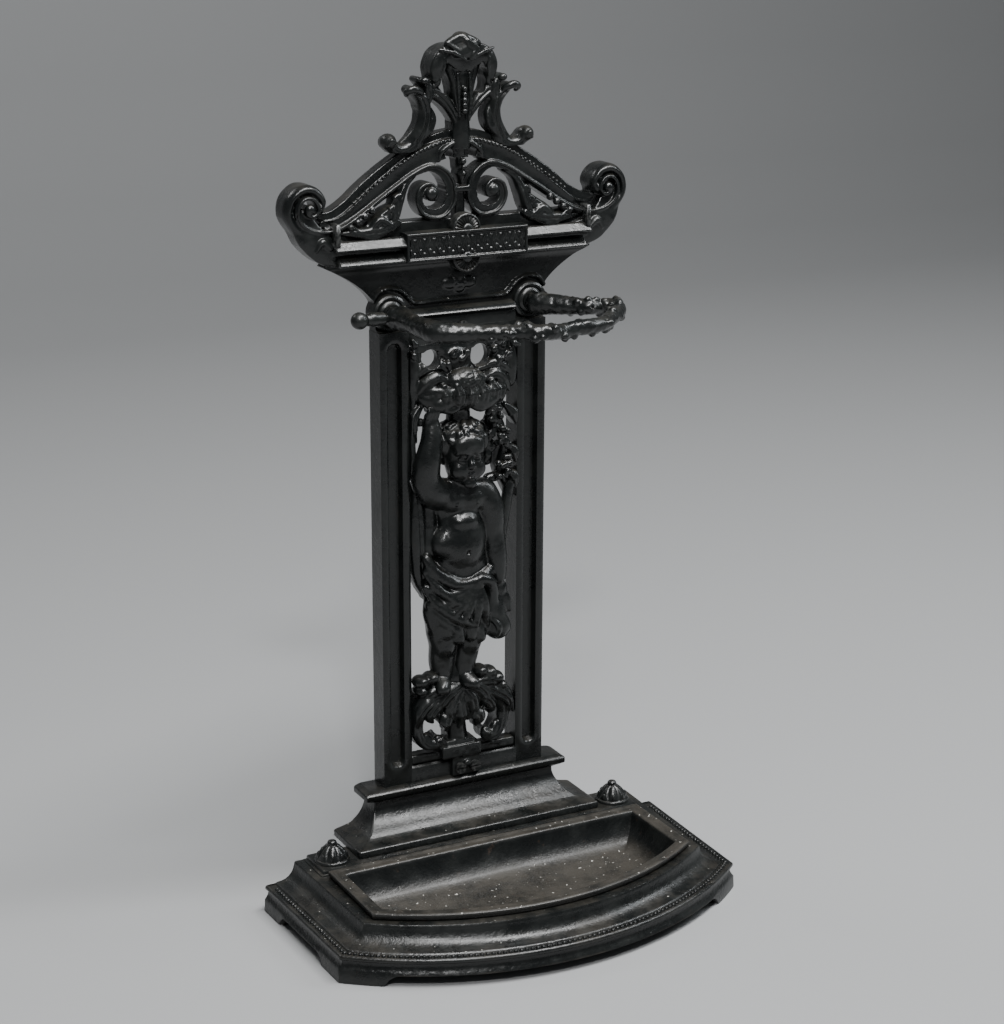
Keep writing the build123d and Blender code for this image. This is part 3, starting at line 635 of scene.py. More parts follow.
def make_frame():
    parts = Parts()
    ledge = [(88.1, 100, 108.6), (89.0, 101.4, 107.6), (90.2, 104.6, 105.6), (91.6, 107.6, 103.8),
             (92.4, 109.4, 102.6), (93.0, 110, 102.2), (97.4, 110, 102.2), (98.6, 109.2, 103.2),
             (99.6, 106.8, 105.4), (100.4, 103.0, 108.0)]
    loft(parts, [rounded_ring(half, y, BACK_Y, z, 1.2) for z, half, y in ledge])
    loft(parts, [rounded_ring(58, y, BACK_Y - 0.3, z, 0.6) for z, y in
                 ((99, 110.6), (113.6, 110.6), (115.0, 111.4), (118.0, 116.0), (118.6, 118.0))])

    xs = np.array([0, 1.6, 3.2, 4.6, 5.6, 6.2, 6.8, 7.2, 7.8, 8.6, 9.6, 11, 12.4, 13.6, 14.5, 15])
    xs = np.concatenate([-xs[::-1], xs[1:]])
    ends = [0, 0.5, 1.2, 2.4, 4, 5.6, 7, 8.2, 9.4, 11, 13, 15, 18]
    zs = np.concatenate([[99.5, 108, 116], 118 + np.array(ends), np.linspace(140, 520, 20),
                         542 - np.array(ends)[::-1], [545, 551]])

    for side in SIDES:
        def front(x, z, side=side):
            dx = np.abs(x - side * PILASTER_X)
            from_axis = np.hypot(dx, np.maximum(0, np.maximum(127 - z, z - 533)))
            depth = 8.0 * np.clip((7.2 - from_axis) / 1.4, 0, 1) ** 0.7
            rib = 1.2 * (np.clip(from_axis - 7.2, 0, 7.8) / 3.9 - 1) ** 2
            return 110 + depth + np.where(from_axis > 7.2, rib, 0)
        relief(parts, xs + side * PILASTER_X, zs, np.ones_like, front, BACK_Y)
    bar(parts, (-57.5, 57.5), (113, BACK_Y - 0.2), (536, 551), 1.0)

    string = smooth_path([(0, 575.5), (30, 575.5), (46, 575.5), (52, 579), (58, 585.5), (66, 590), (75, 591),
                          (84, 588), (90, 580), (92, 572)])
    lower = smooth_path([(0, 566), (30, 566), (54, 566)])

    def half(z):
        t = np.clip((z - 574) / 41, 0, 1)
        return 86.6 + 51.4 * t ** 1.9 + 2.4 * np.sin(np.pi * t)

    def neck_front(x, z):
        ax = np.abs(x)
        y = 121.0 + 0 * x
        y = y - 4.2 * np.exp(-(path_distance(ax, z, string) / 1.9) ** 4)
        y = y - 9.0 * np.exp(-(np.maximum(path_distance(ax, z, lower) - 1.2, 0) / 1.8) ** 4)
        y = y - 7.5 / (1 + np.exp((z - 563.5) / 1.2)) * (ax < 57)
        y = y - 11.0 / (1 + np.exp((z - 551.5) / 0.9)) * (ax >= 57)
        for cx, cz, rx, rz in ((0, 596, 6.5, 8), (-10, 590.5, 8, 5.5), (10, 590.5, 8, 5.5), (0, 586, 6, 5)):
            bulge = np.clip(1 - ((x - cx) / rx) ** 2 - ((z - cz) / rz) ** 2, 0, 1)
            y = y - 2.6 * np.sqrt(bulge)
        y = y - 3.0 * np.clip((z - 606) / 6, 0, 1) ** 2
        return y

    us = np.linspace(-1, 1, 131)
    relief(parts, us, np.concatenate([np.linspace(549.6, 572, 22), np.linspace(573.2, 616, 40)]), half,
           neck_front, BACK_Y)
    for x in (-BOSS_X, BOSS_X):
        profile = [(17.8, BACK_Y - 1), (17.8, 118), (17.2, 115.6), (15.4, 114.4), (13.4, 114.8), (12.6, 116),
                   (11.8, 114.6), (9.6, 113.4), (9.2, 111)]
        disc_front(parts, (x, HINGE_Z), profile)
        bar(parts, (x - 5, x + 5), (100, 117), (559, 570.6), 1.2)
    parts.put("back_frame_detailed", FRAME_BLACK, "stand", ["back_frame"])


# ---------------------------------------------------------------- crest

def make_crest():
    clay = Clay((-186, 92, 608), (186, 142, 744), 1.0)
    clay.block((-137, 137), (117, BACK_Y), (614.5, 652), 1.5)
    for s in SIDES:
        def p(*points, s=s):
            return [(s * x, z) for x, z in points]

        # shoulder under the volute
        clay.stroke(p((124, 628), (138, 632), (152, 645), (160, 660)), (12, 13, 13, 11),
                    (112, 111, 111, 114), 2, BACK_Y + 1, blend=3)
        # swan neck: cornice between the front edge and the bead line
        neck = p((2, 716), (18, 715), (34, 710), (49, 702), (66, 691), (84, 679), (104, 665), (122, 656),
                 (138, 655))
        clay.stroke(neck, (9, 9, 9, 9, 8.5, 8, 7, 5, 3), (117.5, 117.5, 117.5, 117.5, 117.5, 118, 118, 119),
                    -1.6, BACK_Y + 2, edge=0.8)
        top = p((0, 727), (20, 724.5), (44, 716), (66, 704), (90, 688), (112, 671), (128, 663), (140, 662))
        clay.stroke(top, (6, 6, 6, 6, 6, 6, 5, 3), (121, 121, 121, 121, 121, 121, 120, 119), 0, BACK_Y + 2,
                    edge=1.2)
        # front edge: one long S from the volute's eye to the inner scroll's eye
        edge = p((153, 671.5), (156, 667), (150, 664), (145, 670), (149, 678.5), (158, 680), (164.5, 671),
                 (161, 658), (147, 649.5), (126, 650), (105, 660), (82, 675), (64, 686.5), (48, 696),
                 (31, 701.5), (16, 696), (7.5, 682), (8.5, 665), (20, 654), (37, 656), (45.5, 668),
                 (43, 681), (33, 685), (25.5, 679), (27, 671), (33, 671))
        rim = (108, 108, 109, 110, 110.5, 111, 112, 112.6, 113, 113, 113, 113, 113, 113, 113, 113, 113, 113,
               113)
        hollow = [y + 2.6 for y in rim]
        inward = (2, 2, 2.2, 3, 3, 3, 3, 2.6, 2.4, 2.4, 3, 5, 8, 9.5, 9.5, 9, 7.5, 6, 5, 4)
        left, right = (inward, 1.6) if s > 0 else (1.6, inward)
        clay.stroke(edge, left, hollow, -0.8, edge=0.7, right=right)
        clay.stroke(edge, 1.5, rim, 0.4, BACK_Y - 6, blend=0.5, edge=0.6)
        # rounded outer side of the volute
        barrel = p((133, 634), (158, 648), (171, 662), (170.5, 677), (160, 687), (148, 686), (140, 677),
                   (142, 668))
        clay.stroke(barrel, (7, 6, 5, 4.5, 4.5, 4.5, 4, 3), (114, 113, 113, 112, 111, 110, 110, 111),
                    (6, 6, 6, 6, 5, 4, 3), BACK_Y + 3, blend=2.5, edge=2.4)
        clay.ball((s * 153.5, 111.5, 670.5), (5, 5, 5), 1)
        clay.ball((s * 32, 114.5, 676), (6, 5, 6), 1.5)
        # acanthus in the spandrel
        clay.stroke(p((46, 693), (56, 686), (63, 674), (68, 660), (73, 647)), (2.5, 4, 5.5, 5.5, 3.5),
                    (116, 112, 110, 109, 111), 6, BACK_Y - 4, 2.0)
        for x, z in ((66, 678), (71, 668), (75, 660)):
            clay.stroke(p((x - 3, z), (x + 2, z - 3), (x + 6, z - 9)), (2, 3.4, 1), (112, 110, 113), 4, 126,
                        1.0)
        clay.stroke(p((66, 668), (76, 662), (86, 656), (98, 650)), (2.5, 4.5, 4.5, 2), (113, 111, 111, 113),
                    6, BACK_Y - 4, 2.0)
        clay.stroke(p((66, 652), (84, 646), (104, 645), (122, 646)), (4, 6, 5, 2), (110, 108, 109, 112), 4,
                    125, 1.6)
        clay.stroke(p((72, 648), (84, 655), (92, 648), (102, 640)), (4, 5, 4, 2), (109, 108, 109, 112), 4,
                    125, 1.4)
        clay.stroke(p((80, 644), (94, 640), (112, 652)), (3, 4, 2), (110, 109, 112), 3, 125)
        for x, z in ((92, 665), (99, 660), (106, 655), (113, 651)):
            clay.ball((s * x, 114, z), (3.4, 4, 3.4), 1)
        clay.stroke(p((134, 634), (142, 640), (148, 632)), (3, 4, 2), (108.5, 107.5, 110), 3, 125)
        # core behind the two fillets
        clay.block((60, 132) if s > 0 else (-132, -60), (111, 120), (626, 632), 0.6)
        # tracery beside the stem
        clay.stroke(p((5, 722), (12, 719), (20, 713), (22, 705)), (2, 3, 3.5, 2), (114, 113, 114, 116), 3)
        clay.ball((s * 11.5, 124, 710.5), (4.6, 30, 5.2), 1.0, remove=True)
        # bead row under the cornice
        for k in range(25):
            x = 8 + 4.2 * k
            z = float(np.interp(x, [0, 20, 44, 66, 90, 112], [724.4, 722.0, 714.4, 702.6, 686.4, 670.4]))
            clay.ball((s * x, 116.4, z), (1.6, 1.9, 1.6), 0.3)
    # pockets in the back, where the heads of the plaque and finial screws show
    for x, z in ((-45, 630), (45, 630), (0, 724)):
        clay.ball((x, 138.5, z), (6.8, 9.5, 6.8), 0.4, remove=True)
    # stem, its leaf and the bar between the inner scrolls
    clay.stroke([(0, 738), (0, 715), (0, 696)], (9, 6, 3), (113, 113, 116), 5)
    clay.stroke([(0, 700), (0, 690), (0, 684)], (2, 5, 2), (112, 111, 114), 4, BACK_Y - 4)
    clay.block((-9, 9), (112.5, 130), (676, 681), 1.0, 0.4)
    clay.block((-5, 5), (118, 130), (650, 680), 2.0)
    for k, z in enumerate((704, 698.5, 693)):
        clay.ball((0, 112.5, z), (3.2 - 0.5 * k, 3, 3.0 - 0.4 * k), 0.6)
    clay.roughen(5.0, 0.12, 11)
    parts = Parts()
    clay.skin(parts)
    # fillets: an L-shaped bar and a plain one under it, faces leaning back
    for s in SIDES:
        for x0, x1, y, z0, z1, lean in ((62, 131.5, 101.5, 631, 639, 6.5), (62, 127.5, 103, 616.5, 626.5, 8)):
            face = [(y + t * (lean - 0.3), z0 + 1.4 + t * (z1 - z0 - 2.1)) for t in (0, 0.12, 0.3, 0.7, 0.88,
                                                                                      1)]
            profile = [(121, z0), (y + 0.7, z0), (y, z0 + 0.6)] + face + [(y + lean + 0.4, z1), (121, z1)]
            rings = [np.array([(s * x, py, pz) for py, pz in profile])
                     for x in (x0, x0 + 1, x0 + 4, (x0 + x1) / 2, x1 - 4, x1 - 1, x1)]
            loft(parts, [ring[::-1] for ring in rings] if s > 0 else rings)
        rings = [np.array([(s * x, py, pz) for x, py in ((127, 121), (127, 104.6), (127.6, 104),
                                                         (130.8, 104), (131.4, 104.6),
                                                         (131.4, 121))]) for pz in (632, 644, 656)]
        loft(parts, rings if s > 0 else [ring[::-1] for ring in rings])
    parts.put("crest_plate_detailed", BLACK, "stand", ["crest_plate"], sharp=0)


def make_finial():
    clay = Clay((-90, 98, 714), (90, 142, 826), 0.8)
    back = 131
    for s in SIDES:
        reach = 1.0 if s < 0 else 0.94

        def p(*points, s=s, reach=reach):
            return [(s * x * reach, z) for x, z in points]
        # side leaf: an S that stands on the pediment and flares out at the tip
        clay.stroke(p((52, 716), (44, 726), (38, 738), (36.5, 750), (40, 761), (50, 770)),
                    (9, 8, 7, 6.5, 6.5, 4), (117, 113, 111, 110, 108.5, 107), 7, back, 2.6)
        clay.limb([(s * 44 * reach, 110, 769), (s * 52 * reach, 107, 772), (s * 58 * reach, 109, 770),
                   (s * 57 * reach, 113, 766)], (2.8, 2.8, 2.2, 1.2), 2)
        clay.stroke(p((39, 756), (35, 765), (36, 774), (43, 779)), (5.5, 6, 5.5, 3), (111, 109, 108, 110), 5,
                     back, 1.6)
        clay.ball((s * 41 * reach, 109, 779), (4.4, 4, 3.4), 1.4)
        # curl and its ball
        clay.stroke(p((44, 722), (55, 716), (64, 717), (72, 724)), (8, 7, 6, 6), (115, 115, 114, 113), 5,
                    back, 1.0)
        clay.ball((s * 72.5 * reach, 120, 725), (7.4, 10, 7.4), 2)
        clay.limb([(s * 76 * reach, 112, 722), (s * 73 * reach, 110.6, 727), (s * 70 * reach, 111.6, 724)],
                  (1.3, 1.6, 1.2), 0.8)
        # inner leaflet and the stalk that arches from the stem to the side leaf
        clay.stroke(p((40, 726), (32, 735), (29, 745), (31, 752)), (3, 4, 4, 2.5), (114, 112, 112, 114), 4,
                    back, 1.0)
        clay.stroke(p((3, 738), (10, 750), (18, 760), (28, 767), (38, 768)), (4, 5, 6, 6.5, 6),
                    (113, 111, 110, 110, 112), 5, back, 2.2)
        # hood: shoulder and hanging lobe
        clay.stroke(p((2, 797), (14, 801), (23, 799), (28.5, 790), (29, 781)), (12, 10, 7.5, 6.5, 4.5),
                    (107, 105, 104, 105, 107), 2.6, back, blend=1.6, edge=1.2)
        clay.stroke(p((29, 783), (26, 777), (30, 773)), (4.5, 4.5, 3.5), (110, 109, 111), 4, back)
        clay.limb([(s * 27, 105.5, 806), (s * 15, 101.6, 803), (s * 3, 101.4, 797)], (1.4, 1.7, 1.2), 0.9)
        clay.limb([(s * 22.5, 104.5, 798), (s * 22.5, 106, 790), (s * 24.5, 109, 781)], (1.2, 1.6, 1.0), 0.9)
        # outer rib of the fan
        clay.stroke(p((2, 744), (6, 762), (8.5, 778), (12, 792)), (3, 4, 5, 7), (111, 109, 108, 109), 5,
                    back, 1.8)
        clay.ball((s * 18.5, 124, 774), (4.6, 30, 9.5), 1.5, remove=True)
    clay.stroke([(0, 714), (0, 735), (0, 752), (0, 770), (0, 790)], (10, 9, 7, 6, 10),
                (111, 110, 110, 110, 110), 6, back)
    clay.ball((0, 118, 802), (22, 10, 12), 3)
    # front leaf folded over the hood, with a raised midrib
    clay.ball((-4, 110, 809), (17, 8, 9), 3)
    clay.limb([(-19, 107, 811), (-5, 106, 816.5), (12, 107, 811)], (2.6, 3.2, 2.6), 2.5)
    clay.stroke([(-4, 813), (-3, 809), (0, 803), (2, 798)], (8, 15, 12, 2), (102.5, 100, 99.5, 102), 3, 114,
                blend=1.2, edge=1.0)
    clay.limb([(-5, 104, 817), (1, 100.2, 811), (9, 100.6, 806)], (1.6, 1.9, 1.4), 2.2)
    clay.limb([(9, 100.6, 806), (5, 101, 802), (2, 102, 797)], (1.3, 1.4, 1.0), 1.8)
    clay.limb([(-20, 105, 812), (-12, 102.4, 806), (-1, 102, 799)], (1.2, 1.4, 1.0), 1.6)
    for k in range(5):
        clay.ball((-1.4, 107.6, 750 + 5.0 * k), (3.0 - 0.12 * k, 3.2, 2.7), 0.4)
    clay.limb([(3.6, 108, 742), (4.4, 106.4, 762), (3.6, 107, 784)], (1.5, 1.5, 1.2), 0.8)
    clay.limb([(-6, 108, 746), (-7.5, 106.4, 764), (-8.5, 107, 784)], (1.2, 1.3, 1.1), 0.8)
    clay.roughen(4.0, 0.15, 12)
    parts = Parts()
    clay.skin(parts)
    parts.put("finial_detailed", BLACK, "stand", ["finial"], sharp=0)


PLAQUE_HALF = 62.5
PLAQUE_Z = (616.0, 643.0)
PLAQUE_MIDDLE = 629.5


def make_plaque():
    def front(x, z):
        border = np.minimum(PLAQUE_HALF - np.abs(x), np.minimum(z - PLAQUE_Z[0], PLAQUE_Z[1] - z))
        y = 101.0 + 2.4 * (1 / (1 + np.exp(-(border - 3.0) / 0.35)))
        y = y + 1.6 * np.clip((1.2 - border) / 1.2, 0, 1) ** 2
        cell = (np.abs(x) + 4.9) % 9.8 - 4.9
        lozenge = np.abs(cell) / 3.7 + np.abs(z - PLAQUE_MIDDLE) / 8.0
        raised = 1 / (1 + np.exp((lozenge - 1) / 0.06))
        pit = np.exp(-(np.hypot(cell, (z - PLAQUE_MIDDLE) * 0.6) / 1.4) ** 4)
        y = y - (1.9 * raised - 1.3 * pit * raised) * (border > 3.4)
        dots = np.hypot((np.abs(x)) % 9.8 - 4.9, (np.abs(z - PLAQUE_MIDDLE) - 6.4))
        return y - 1.3 * np.exp(-(dots / 1.5) ** 4) * (border > 3.2)

    parts = Parts()
    us = np.linspace(-PLAQUE_HALF, PLAQUE_HALF, 300)
    relief(parts, us, np.linspace(PLAQUE_Z[0], PLAQUE_Z[1], 66), np.ones_like, front, 115.9)
    for cz in (617.0, 643.0):
        t = np.arange(96) * 2 * math.pi / 96
        rings = []
        for r, y, wave in ((14.5, 115.8, 0), (14.5, 105.4, 0), (13.8, 104.2, 0), (12.6, 103.9, 0),
                           (12.0, 104.8, 0.5), (8.5, 103.4, 0.8), (5.2, 103.6, 0.5), (4.6, 102.6, 0),
                           (2.5, 101.6, 0)):
            depth = y + wave * np.cos(t * 24)
            rings.append(np.stack([r * np.cos(t), depth, cz + r * np.sin(t)], 1))
        loft(parts, rings)
    parts.put("plaque_detailed", BLACK, "stand", ["plaque"], sharp=50)


# ---------------------------------------------------------------- figure panel

def make_figure():
    clay = Clay((-60, 84, 192), (60, 137, 480), 0.8)
    # torso
    clay.ball((-4, 114, 378), (28, 15, 23), 3)
    clay.ball((-15, 103, 385), (13, 7.5, 10.5), 5)
    clay.ball((6, 103, 384), (13, 7.5, 10.5), 5)
    clay.ball((-5, 109, 350), (26, 16.5, 23), 8)
    clay.ball((-6, 102.5, 336), (22, 13.5, 18), 8)
    clay.ball((-5, 112, 318), (32, 15.5, 24), 8)
    clay.ball((-27, 106, 343), (11, 11.5, 12), 7)
    clay.ball((-5, 99.5, 364), (12, 7, 6), 6)
    clay.ball((-6, 88.2, 335), (2.2, 3.4, 2.4), 1.6, remove=True)
    for x in (-15, 7):
        clay.ball((x, 95.6, 382), (1.4, 1.2, 1.4), 0.8)
    clay.limb([(-29, 112, 395), (-15, 107, 397), (-4, 106, 394), (8, 107, 394), (22, 112, 388)],
              (8, 4, 3, 4, 8), 6)
    # neck and head, whose middle is at head_x
    head_x = -3
    clay.limb([(-4, 115, 408), (-4, 115, 390)], (10, 13), 5)
    clay.ball((head_x, 110, 433), (21.5, 20, 21), 2)
    clay.ball((head_x, 105, 417), (18.5, 15.5, 17), 6)
    for s in SIDES:
        clay.ball((head_x + s * 9.5, 96.6, 415.5), (8, 6.5, 8), 5)
        clay.ball((head_x + s * 7.9, 89.0, 427.6), (5.2, 3.6, 3.0), 2.0, remove=True)
        clay.ball((head_x + s * 7.8, 93.6, 427.2), (4.0, 3.1, 2.7), 0.7)
        clay.limb([(head_x + s * 4.2, 91.6, 427.2), (head_x + s * 7.8, 90.2, 429.6),
                   (head_x + s * 12, 92.8, 427.6)], (0.7, 0.95, 0.7), 0.8)
        clay.limb([(head_x + s * 4.6, 91.9, 425.6), (head_x + s * 8, 91.0, 424.6),
                   (head_x + s * 11.6, 93.0, 426)], (0.6, 0.8, 0.6), 0.8)
        clay.limb([(head_x + s * 3.6, 91.2, 433.0), (head_x + s * 8.4, 90.6, 435.0),
                   (head_x + s * 13.4, 93.6, 432.6)], (1.1, 1.5, 1.0), 2.4)
        clay.ball((head_x + s * 2.7, 89.6, 419.6), (1.9, 2.2, 1.7), 1.2)
        clay.ball((head_x + s * 19.6, 112, 424), (3.0, 4.4, 5.4), 2)
    clay.ball((head_x, 94, 441), (16, 8, 10), 6)
    clay.limb([(head_x, 91.8, 431), (head_x, 90.0, 425), (head_x, 87.8, 420.4)], (2.0, 2.1, 2.8), 2.2)
    clay.limb([(-8.2, 93.2, 411.4), (-5.2, 90.4, 412.7), (head_x, 90.2, 412.0), (-0.8, 90.4, 412.7),
               (2.2, 93.2, 411.4)], (0.7, 1.4, 1.3, 1.4, 0.7), 0.8)
    clay.limb([(-7, 93.0, 409.4), (head_x, 90.4, 408.7), (1, 93.0, 409.4)], (0.9, 1.8, 0.9), 0.8)
    clay.ball((head_x, 92.6, 402.6), (6.5, 5, 5), 4)
    # hair: a cap of short curls
    clay.ball((head_x, 113, 444), (23.2, 21.5, 18), 2.5)
    rng = np.random.default_rng(21)
    for k in range(70):
        height = 1 - (k + 0.5) / 70 * 1.12
        around = k * 2.39996 + rng.uniform(-0.2, 0.2)
        ring = math.sqrt(max(0.0, 1 - height * height))
        if height < 0.16 and -math.sin(around) * ring > 0.6 and abs(math.cos(around) * ring) < 0.65:
            continue
        twist = rng.uniform(0, 6.3)
        curl = []
        for t in (0.0, 0.9, 1.8, 2.7):
            a = around + 0.17 * math.cos(twist + t)
            h = height + 0.15 * math.sin(twist + t)
            w = math.sqrt(max(0.04, 1 - min(h, 0.98) ** 2))
            curl.append((head_x + 22.4 * w * math.cos(a), 113 + 20.8 * w * math.sin(a), 444 + 17.2 * h))
        clay.limb(curl, (1.6, 2.7, 2.7, 1.5), 1.2)
    for s in SIDES:
        clay.limb([(head_x + s * 20, 104, 444), (head_x + s * 21, 106, 436), (head_x + s * 20, 109, 430)],
                  (4, 4, 3), 2)
    # raised arm
    clay.limb([(-26, 112, 391), (-36, 109, 395), (-43, 108, 408)], (13, 12.5, 12), 5)
    clay.limb([(-43, 108, 408), (-42, 104, 426), (-37.5, 105, 446), (-36, 108, 462)], (12, 11, 8.6, 6.4), 4)
    clay.ball((-37.5, 106, 467), (7, 5.5, 7.5), 3)
    for k in range(4):
        clay.limb([(-42.5 + 3.2 * k, 103, 468), (-41.5 + 3.1 * k, 101.6, 474), (-40 + 2.8 * k, 103, 479)],
                  (2.2, 2.0, 1.7), 0.8)
    # lowered arm
    clay.limb([(20, 112, 387), (27, 109, 368), (29, 109, 348)], (13, 11.5, 10), 5)
    clay.limb([(29, 109, 348), (31.5, 105, 324), (33, 103, 300)], (10, 9, 6.2), 4)
    clay.ball((35, 103, 289), (7, 5.5, 9), 3)
    for k in range(4):
        clay.limb([(31.5 + 3 * k, 101, 284), (34 + 3 * k, 99.6, 275), (38 + 2.3 * k, 101, 266)],
                  (2.4, 2.1, 1.7), 0.8)
    # legs
    clay.limb([(-21, 113, 290), (-25, 109, 258), (-24, 110, 240), (-24, 113, 222), (-24, 112, 202)],
              (17, 15, 11.5, 11, 8.5), 4)
    clay.limb([(4, 113, 290), (4, 109, 258), (3, 110, 240), (1, 113, 222), (-2, 112, 202)],
              (17, 15, 11.5, 11, 8.5), 4)
    clay.ball((-25, 101, 239), (8, 7, 8), 5)
    clay.ball((3, 101, 239), (8, 7, 8), 5)
    for s, x in ((-1, -26), (1, -1)):
        clay.limb([(x, 110, 202), (x + s * 2, 102, 199), (x + s * 5, 96, 197.5)], (8, 7, 4.6), 3)
    # drapery: mass, rolled top edge, sweeping folds and hem
    clay.ball((-8, 111, 300), (38, 16, 28), 5)
    clay.ball((-14, 107, 276), (32, 15.5, 25), 6)
    clay.limb([(-43, 107, 330), (-36, 102, 317), (-24, 98, 308), (-9, 96.4, 302), (4, 96.6, 303),
               (15, 99, 307), (25, 104, 311)], (4.2, 4.6, 4.6, 4.4, 4.4, 4.6, 4.2), 3.4)
    knot = (7, 95, 303)
    for tip, sag, radius in (((-44, 104, 318), 7, 3.6), ((-45, 104, 302), 9, 4), ((-42, 102, 284), 8, 4.2),
                             ((-34, 99, 266), 5, 4.2), ((-18, 96, 254), 2, 4.0), ((2, 96, 250), 0, 4.0),
                             ((17, 98, 254), -1, 4.2)):
        middle = ((knot[0] + tip[0]) / 2, (knot[1] + tip[1]) / 2 - 5.2, (knot[2] + tip[2]) / 2 - sag)
        clay.limb([knot, middle, tip], (3, radius, radius * 0.8), 2.6)
    for fold, radius in (([(-45, 105, 316), (-32, 96, 298), (-12, 92.6, 284), (8, 93, 276)], 4.0),
                         ([(-45, 105, 300), (-33, 96, 282), (-15, 92.6, 268), (3, 94, 260)], 4.2),
                         ([(-42, 104, 283), (-31, 97, 269), (-18, 94, 257)], 4.2)):
        clay.limb(fold, (2.6, radius, radius, 2.6), 2.4)
    clay.ball(knot, (7, 5, 7), 2.5)
    clay.limb([(9, 93, 306), (20, 96, 300), (24, 98, 284), (20, 97, 266)], (4, 5, 5, 4), 3)
    clay.limb([(-37, 115, 384), (-36, 115, 360), (-38, 114, 334)], (5, 6.5, 7), 3)
    for x, y, z, r in ((-37, 106, 263, 7.5), (-27, 99, 256, 8), (-15, 96, 249, 8), (-2, 97, 250, 7),
                       (9, 98, 247, 8), (18, 102, 251, 7)):
        clay.limb([(x, y, z + 7), (x + 1, y - 1, z - 1)], (r * 0.8, r * 0.75), 3)
    clay.limb([(20, 106, 284), (27, 102, 268), (31, 101, 254)], (9, 9, 9), 4)
    clay.ball((31, 101, 252), (13.5, 12, 13), 2)
    clay.limb([(21, 94, 264), (27, 90, 255), (26, 92, 245)], (1.8, 2.4, 1.4), 1.8)
    clay.roughen(3.2, 0.14, 13)
    parts = Parts()
    clay.skin(parts)
    parts.put("figure_child", BLACK, "stand", ["figure_panel"], sharp=0)


